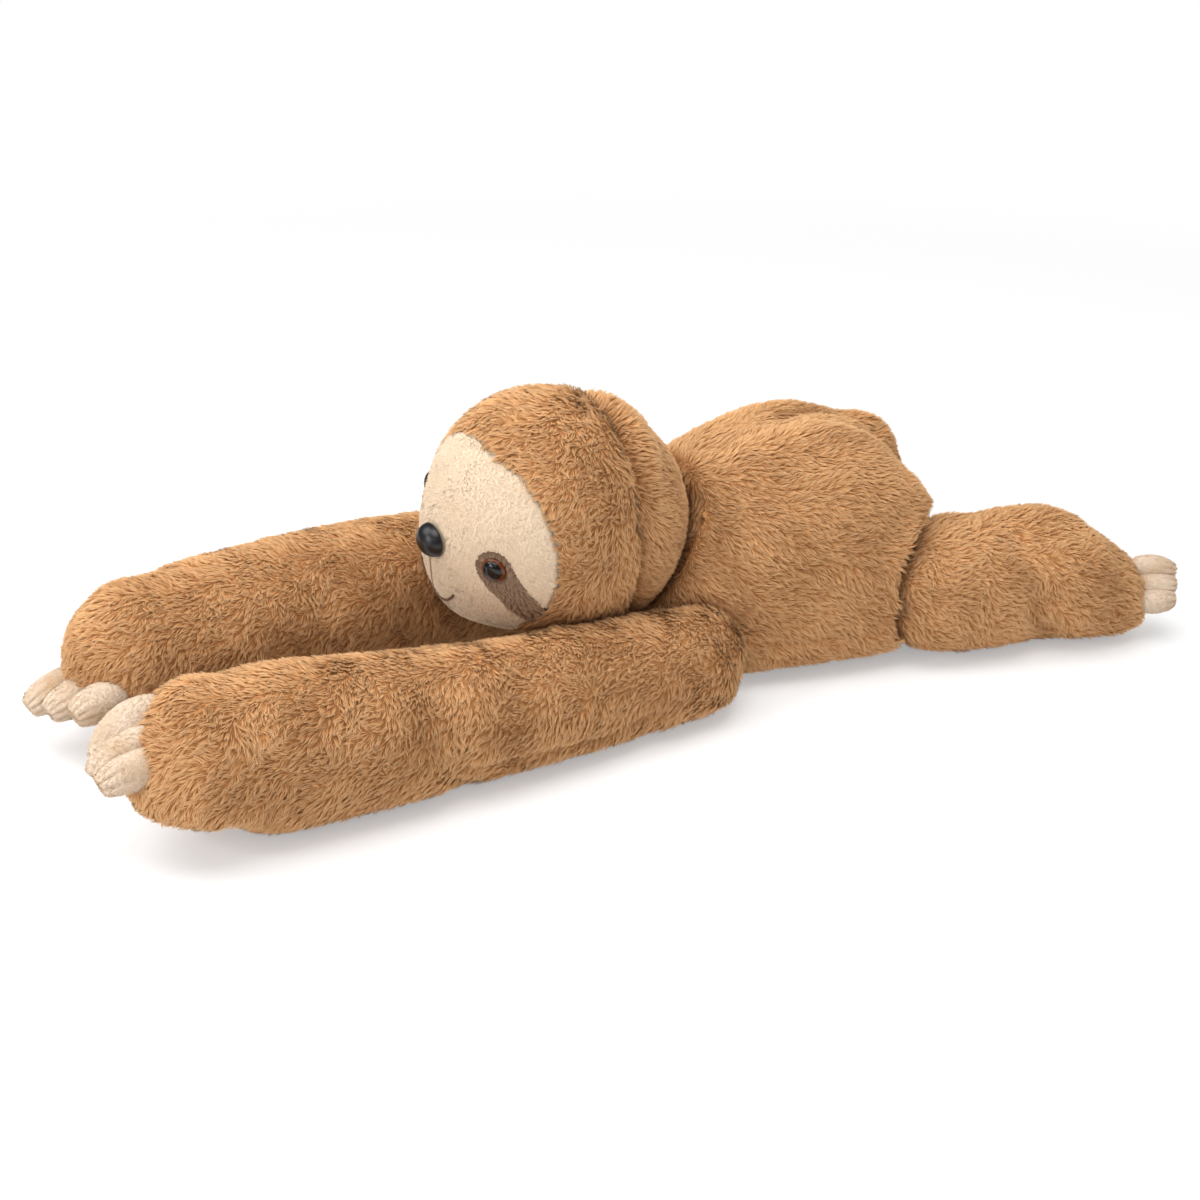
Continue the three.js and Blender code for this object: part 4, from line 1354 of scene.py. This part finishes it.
def fur_coat(lift, wander, unrest):
    fur = settings().fur
    return Coat(fur.pile, fur.width, fur.spacing, fur.clump, lift, 0.45, wander, unrest)


class SLOTH_OT_skins(bpy.types.Operator):
    """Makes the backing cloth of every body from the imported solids"""

    bl_idname = "plush_sloth.skins"
    bl_label = "Backing cloth"

    def execute(self, context):
        fur = settings().fur
        pieces = ("_upper_panel", "_under_panel", "_stuffing")
        bodies = {limb: [limb + piece for piece in pieces] for limb in LIMBS}
        bodies["torso"] = TORSO_PANELS + ["torso_stuffing"]
        solids = {body: merged_copy(nodes) for body, nodes in bodies.items()}
        solids["head"] = merged_copy(["head_crown", "neck_roll", "face_mask"])
        trees = {body: BVHTree.FromBMesh(solid) for body, solid in solids.items()}
        for body in bodies:
            skin = remeshed(solids[body], SKIN_CELL)
            soften(skin, 7)
            points = points_of(skin)
            rise = smoothstep(*LOW_SPAN, points[:, 2])
            depths = fur.low_inset + (fur.inset - fur.low_inset) * rise
            gaps = nearest_gap(points, [tree for name, tree in trees.items() if name != body], GAP_REACH)
            depths = CLOTH + (depths - CLOTH) * smoothstep(*GAP_SPAN, gaps)
            drawn_in(skin, depths - fullness(body, points))
            soften(skin, 2)
            SKINS[body] = skin
        for body, folds in FOLDS.items():
            for pixels, depth, width in folds:
                carve(SKINS[body], photo_line(SKINS[body], pixels), depth, width)
        SKINS["head"] = head_skin(fur.inset)
        return {"FINISHED"}


class SLOTH_OT_torso(bpy.types.Operator):
    """Covers the torso with fur, panel by panel"""

    bl_idname = "plush_sloth.torso"
    bl_label = "Torso fur"

    def execute(self, context):
        coat = fur_coat(lift=0.36, wander=0.4, unrest=0.06)
        fur_panels("torso", TORSO_PANELS, "torso_stuffing", steady_flow((0, 0.9, -0.55), 0.25), coat, 11)
        return {"FINISHED"}


class SLOTH_OT_limbs(bpy.types.Operator):
    """Covers the arms and legs with fur, panel by panel"""

    bl_idname = "plush_sloth.limbs"
    bl_label = "Arm and leg fur"

    def execute(self, context):
        for place, (limb, flow) in enumerate(LIMBS.items()):
            panels = [limb + "_upper_panel", limb + "_under_panel"]
            coat = fur_coat(lift=0.40, wander=0.7, unrest=0.05)
            fur_panels(limb, panels, limb + "_stuffing", flow, coat, 40 + 10 * place)
        return {"FINISHED"}


class SLOTH_OT_crown(bpy.types.Operator):
    """Covers the crown of the head and the roll behind it with fur"""

    bl_idname = "plush_sloth.crown"
    bl_label = "Head fur"

    def execute(self, context):
        skin = SKINS["head"]
        middles = face_middles(skin)
        coat = fur_coat(lift=0.42, wander=0.8, unrest=0.06)
        ahead = seam_offset(middles) < 0
        chosen = ahead & ~in_face(middles, FACE_RADIUS)
        fur_piece("head_crown_plush", "head", "head_crown", skin, chosen, crown_flow, coat, 101, on_border)
        coat = fur_coat(lift=0.42, wander=0.4, unrest=0.04)
        flow = steady_flow((0, 1, -0.5), 0.2)
        fur_piece("neck_roll_plush", "head", "neck_roll", skin, ~ahead, flow, coat, 120)
        filling_piece("head", "head_stuffing")
        return {"FINISHED"}


class SLOTH_OT_face(bpy.types.Operator):
    """Makes the cream face and the eye patches with their short pile"""

    bl_idname = "plush_sloth.face"
    bl_label = "Face and eye patches"

    def execute(self, context):
        kit = settings().face
        sheet = face_mesh(FACE_INSET)
        surface = Surface(sheet)
        bare = in_patch(surface.middles, -0.0004)
        bare |= np.linalg.norm(surface.middles - np.array(NOSE_SEAT), axis=1) < NOSE_CLEARING
        bare |= ~in_face(surface.middles, FACE_RADIUS)
        points, normals, _ = surface.sow(kit.spacing, np.where(bare, 0.0, 1.0), 201)
        down = np.tile(np.array(FACE_UP) * -1.0, (len(points), 1))
        stand = {"lift": 1.0, "gather": 0.2, "wander": 1.4, "unrest": 0.04}
        coat = Coat(kit.pile, 0.0009, kit.spacing, clump=0.0022, **stand)
        tufts = pile(points, normals, down, coat, 202)
        shell = closed_sheet(sheet, FACE_FRONT, FACE_CLOTH)
        piece = plush_object("face_plush_mask", shell, tufts, finish_of("face_plush"), 203)
        finish_soft(piece, "head", "face_plush", "face_mask")
        for side, word in SIDES.items():
            sheet = patch_mesh(side, PATCH_INSET)
            surface = Surface(sheet)
            away = np.linalg.norm(surface.middles - np.array(EYE_SEATS[side]), axis=1)
            bare = (away < EYE_CLEARING) | ~in_face(surface.middles, FACE_RADIUS)
            spacing = kit.spacing * 0.7
            points, normals, _ = surface.sow(spacing, np.where(bare, 0.0, 1.0), 211 + side)
            across, upright = face_axes(eye_way(side))
            fall = across * (side * math.cos(PATCH_FALL)) - upright * math.sin(PATCH_FALL)
            flow = np.tile(np.array(fall), (len(points), 1))
            coat = Coat(kit.patch_pile, 0.0008, spacing, clump=0.0020, lift=0.45, gather=0.5, wander=0.45)
            tufts = pile(points, normals, flow, coat, 215 + side)
            shell = closed_sheet(sheet, eye_way(side), PATCH_CLOTH)
            piece = plush_object(f"eye_patch_{word}_plush", shell, tufts, finish_of("patch_plush"), 219)
            finish_soft(piece, "head", "patch_plush", f"eye_patch_{word}")
        return {"FINISHED"}


class SLOTH_OT_buttons(bpy.types.Operator):
    """Makes the eyes and the nose, and finishes the stitches and the washers inside"""

    bl_idname = "plush_sloth.buttons"
    bl_label = "Eyes, nose and mouth"

    def execute(self, context):
        kit = settings().buttons
        for side, word in SIDES.items():
            way, seat = eye_way(side), EYE_SEATS[side]
            iris = button(f"eye_{word}_iris", way, seat, kit.iris, kit.iris, IRIS_PROFILE)
            high = seat + (FACE_UP - FACE_LEFT * side * 0.2) * PUPIL_SHIFT
            pupil = button(f"eye_{word}_pupil", way, high, kit.pupil, kit.pupil, PUPIL_PROFILE)
            for piece, slot, node in ((iris, "brown_plastic", "iris"), (pupil, "black_plastic", "pupil")):
                piece.data.materials.append(finish_of(slot))
                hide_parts(f"eye_{node}_{word}")
                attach(piece, "head")
        half_width, half_height = kit.nose_half_width, kit.nose_half_height
        nose = button("nose_button", NOSE_WAY, NOSE_SEAT, half_width, half_height, NOSE_PROFILE)
        nose.data.materials.append(finish_of("satin_plastic"))
        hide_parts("nose")
        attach(nose, "head")
        smile = [mirrored(p) for p in reversed(SMILE[1:])] + SMILE
        for node, line, radius, look in (
            ("philtrum_stitch", PHILTRUM, 0.0004, "pale_thread"),
            ("smile_stitch", smile, 0.0007, "thread"),
        ):
            piece = thread(node + "_thread", line, radius)
            piece.data.materials.append(finish_of(look))
            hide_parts(node)
            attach(piece, "head")
        for node in ("eye_washer_left", "eye_washer_right", "nose_washer"):
            repaint(node, "washer_plastic")
        return {"FINISHED"}


def repaint(node, slot):
    for place in frame["nodes"][node].material_slots:
        place.material = finish_of(slot)


class SLOTH_OT_claws(bpy.types.Operator):
    """Makes the claws of the hands and the toes of the feet"""

    bl_idname = "plush_sloth.claws"
    bl_label = "Claws and toes"

    def execute(self, context):
        kit = settings().claws
        coat = Coat(kit.pile, 0.0007, kit.spacing, clump=0.0022, lift=0.6, gather=0.2, wander=0.8)
        for limb, digits in DIGITS.items():
            for index in range(3):
                bm, painted_shade = lobe(digits, index, 0.0008, kit.pleat)
                surface = Surface(bm)
                points, normals, chosen = surface.sow(kit.spacing, np.ones(len(surface.areas)), 301 + index)
                flow = np.tile(np.array(digits.ahead), (len(points), 1))
                # Painted shade of each tuft, taken from the pleat valleys and the dimple of its lobe.
                painted_shade = painted_shade[surface.triangles[chosen]].mean(1)
                tufts = pile(points, normals, flow, coat, 305 + index, painted_shade)
                tufts[0][:, 2] = np.maximum(tufts[0][:, 2], FLOOR_GAP)
                node = f"{limb}_{digits.word}_{index + 1}"
                piece = plush_object(node + "_velvet", bm, tufts, finish_of("claw_plush"), 309 + index)
                finish_soft(piece, limb, "claw_plush", node)
        return {"FINISHED"}


def floor_finish(tint):
    """A plain floor that keeps its shadow and turns white to the camera further out."""
    finish = Finish("Pale floor")
    finish.set(Base_Color=tuple(tint), Roughness=0.9, Specular_IOR_Level=0.0)
    seen = finish.node("ShaderNodeLightPath", output="Is Camera Ray")
    shine = finish.node("ShaderNodeLightPath", output="Is Glossy Ray")
    away = finish.node("ShaderNodeVectorMath", {"operation": "LENGTH"}, {0: finish.place()}, output=1)
    far = finish.node("ShaderNodeMapRange", {}, {0: away, 1: 0.5, 2: 1.6, 3: 0.35, 4: 1.0})
    lit = Value(finish, finish.shader.outputs[0])
    glow = finish.node("ShaderNodeEmission")
    share = seen.maths("MAXIMUM", shine * 0.3) * far
    blend = finish.node("ShaderNodeMixShader", {}, {0: share, 1: lit, 2: glow})
    finish.feed(finish.nodes["Material Output"].inputs[0], blend)
    return finish.material


def even_light(strength):
    """White light from all round, plain white to the camera and dim in reflections."""
    world = bpy.data.worlds.new("Even light")
    world.use_nodes = True
    light = Nodes(world.node_tree)
    seen = light.node("ShaderNodeLightPath", output="Is Camera Ray")
    through = light.node("ShaderNodeLightPath", output="Is Transmission Ray")
    shine = light.node("ShaderNodeLightPath", output="Is Glossy Ray")
    lit = light.node("ShaderNodeMix", {}, {0: shine, 2: strength, 3: strength * 0.2})
    level = light.node("ShaderNodeMix", {}, {0: seen.maths("MAXIMUM", through), 2: lit, 3: 1.0})
    background = light.nodes["Background"]
    light.feed(background.inputs["Color"], (1.0, 1.0, 1.0))
    light.feed(background.inputs["Strength"], level)
    return world


def lamp(name, place, size, power):
    light = bpy.data.lights.new(name, "AREA")
    light.shape = "DISK"
    light.size = size
    light.energy = power
    made = new_object(name, light)
    made.location = place
    made.rotation_euler = (CAMERA_TARGET - Vector(place)).to_track_quat("-Z", "Y").to_euler()


class SLOTH_OT_stage(bpy.types.Operator):
    """Sets the camera, the lamps, the floor and the even light all round"""

    bl_idname = "plush_sloth.stage"
    bl_label = "Stage"

    def execute(self, context):
        kit = settings().stage
        scene = bpy.context.scene
        scene.view_settings.view_transform = "Standard"
        eye = bpy.data.cameras.new("Camera")
        eye.lens = CAMERA_LENS_MM
        eye.sensor_width = SENSOR_MM
        eye.clip_end = 50
        camera = new_object("Camera", eye)
        camera.location = CAMERA_AT
        camera.rotation_euler = (CAMERA_TARGET - CAMERA_AT).to_track_quat("-Z", "Y").to_euler()
        scene.camera = camera
        bm = bmesh.new()
        bmesh.ops.create_grid(bm, x_segments=1, y_segments=1, size=20)
        bmesh.ops.translate(bm, verts=bm.verts, vec=(0, 0, -0.0004))
        floor = new_object("floor", mesh_from(bm, "floor"))
        floor.data.materials.append(floor_finish(kit.floor))
        lamp("key", (-0.55, -0.9, 1.5), 1.3, kit.key)
        lamp("top", (0.40, -0.1, 1.75), 1.3, kit.top)
        lamp("front", (0.6, -1.8, 0.9), 1.2, kit.front)
        lamp("spark_left", (0.25, -1.45, 0.95), 0.28, kit.spark)
        lamp("spark_right", (1.35, -0.75, 1.1), 0.14, kit.spark * 0.4)
        scene.world = even_light(kit.sky)
        return {"FINISHED"}


class PlushSlothSettings(bpy.types.PropertyGroup):
    fur: PointerProperty(type=FurSettings)
    face: PointerProperty(type=FaceSettings)
    claws: PointerProperty(type=ClawSettings)
    buttons: PointerProperty(type=ButtonSettings)
    stage: PointerProperty(type=StageSettings)


OPERATORS = (
    SLOTH_OT_skins,
    SLOTH_OT_torso,
    SLOTH_OT_limbs,
    SLOTH_OT_crown,
    SLOTH_OT_face,
    SLOTH_OT_buttons,
    SLOTH_OT_claws,
    SLOTH_OT_stage,
)


class SLOTH_PT_panel(bpy.types.Panel):
    """Lists the steps and the settings of the plush sloth"""

    bl_idname = "SLOTH_PT_panel"
    bl_label = "Plush Sloth"
    bl_space_type = "VIEW_3D"
    bl_region_type = "UI"
    bl_category = "Plush Sloth"

    def draw(self, context):
        for operator in OPERATORS:
            self.layout.operator(operator.bl_idname)
        kit = settings()
        for group in (kit.fur, kit.face, kit.claws, kit.buttons, kit.stage):
            box = self.layout.box()
            for name in group.__annotations__:
                box.prop(group, name)


CLASSES = (
    FurSettings,
    FaceSettings,
    ClawSettings,
    ButtonSettings,
    StageSettings,
    PlushSlothSettings,
    *OPERATORS,
    SLOTH_PT_panel,
)


def register():
    for cls in CLASSES:
        bpy.utils.register_class(cls)
    bpy.types.Scene.plush_sloth = PointerProperty(type=PlushSlothSettings)


def unregister():
    del bpy.types.Scene.plush_sloth
    for cls in reversed(CLASSES):
        bpy.utils.unregister_class(cls)


def main():
    register()
    bpy.ops.plush_sloth.skins()
    bpy.ops.plush_sloth.torso()
    bpy.ops.plush_sloth.limbs()
    bpy.ops.plush_sloth.crown()
    bpy.ops.plush_sloth.face()
    bpy.ops.plush_sloth.buttons()
    bpy.ops.plush_sloth.claws()
    bpy.ops.plush_sloth.stage()


if __name__ == "__main__":
    main()
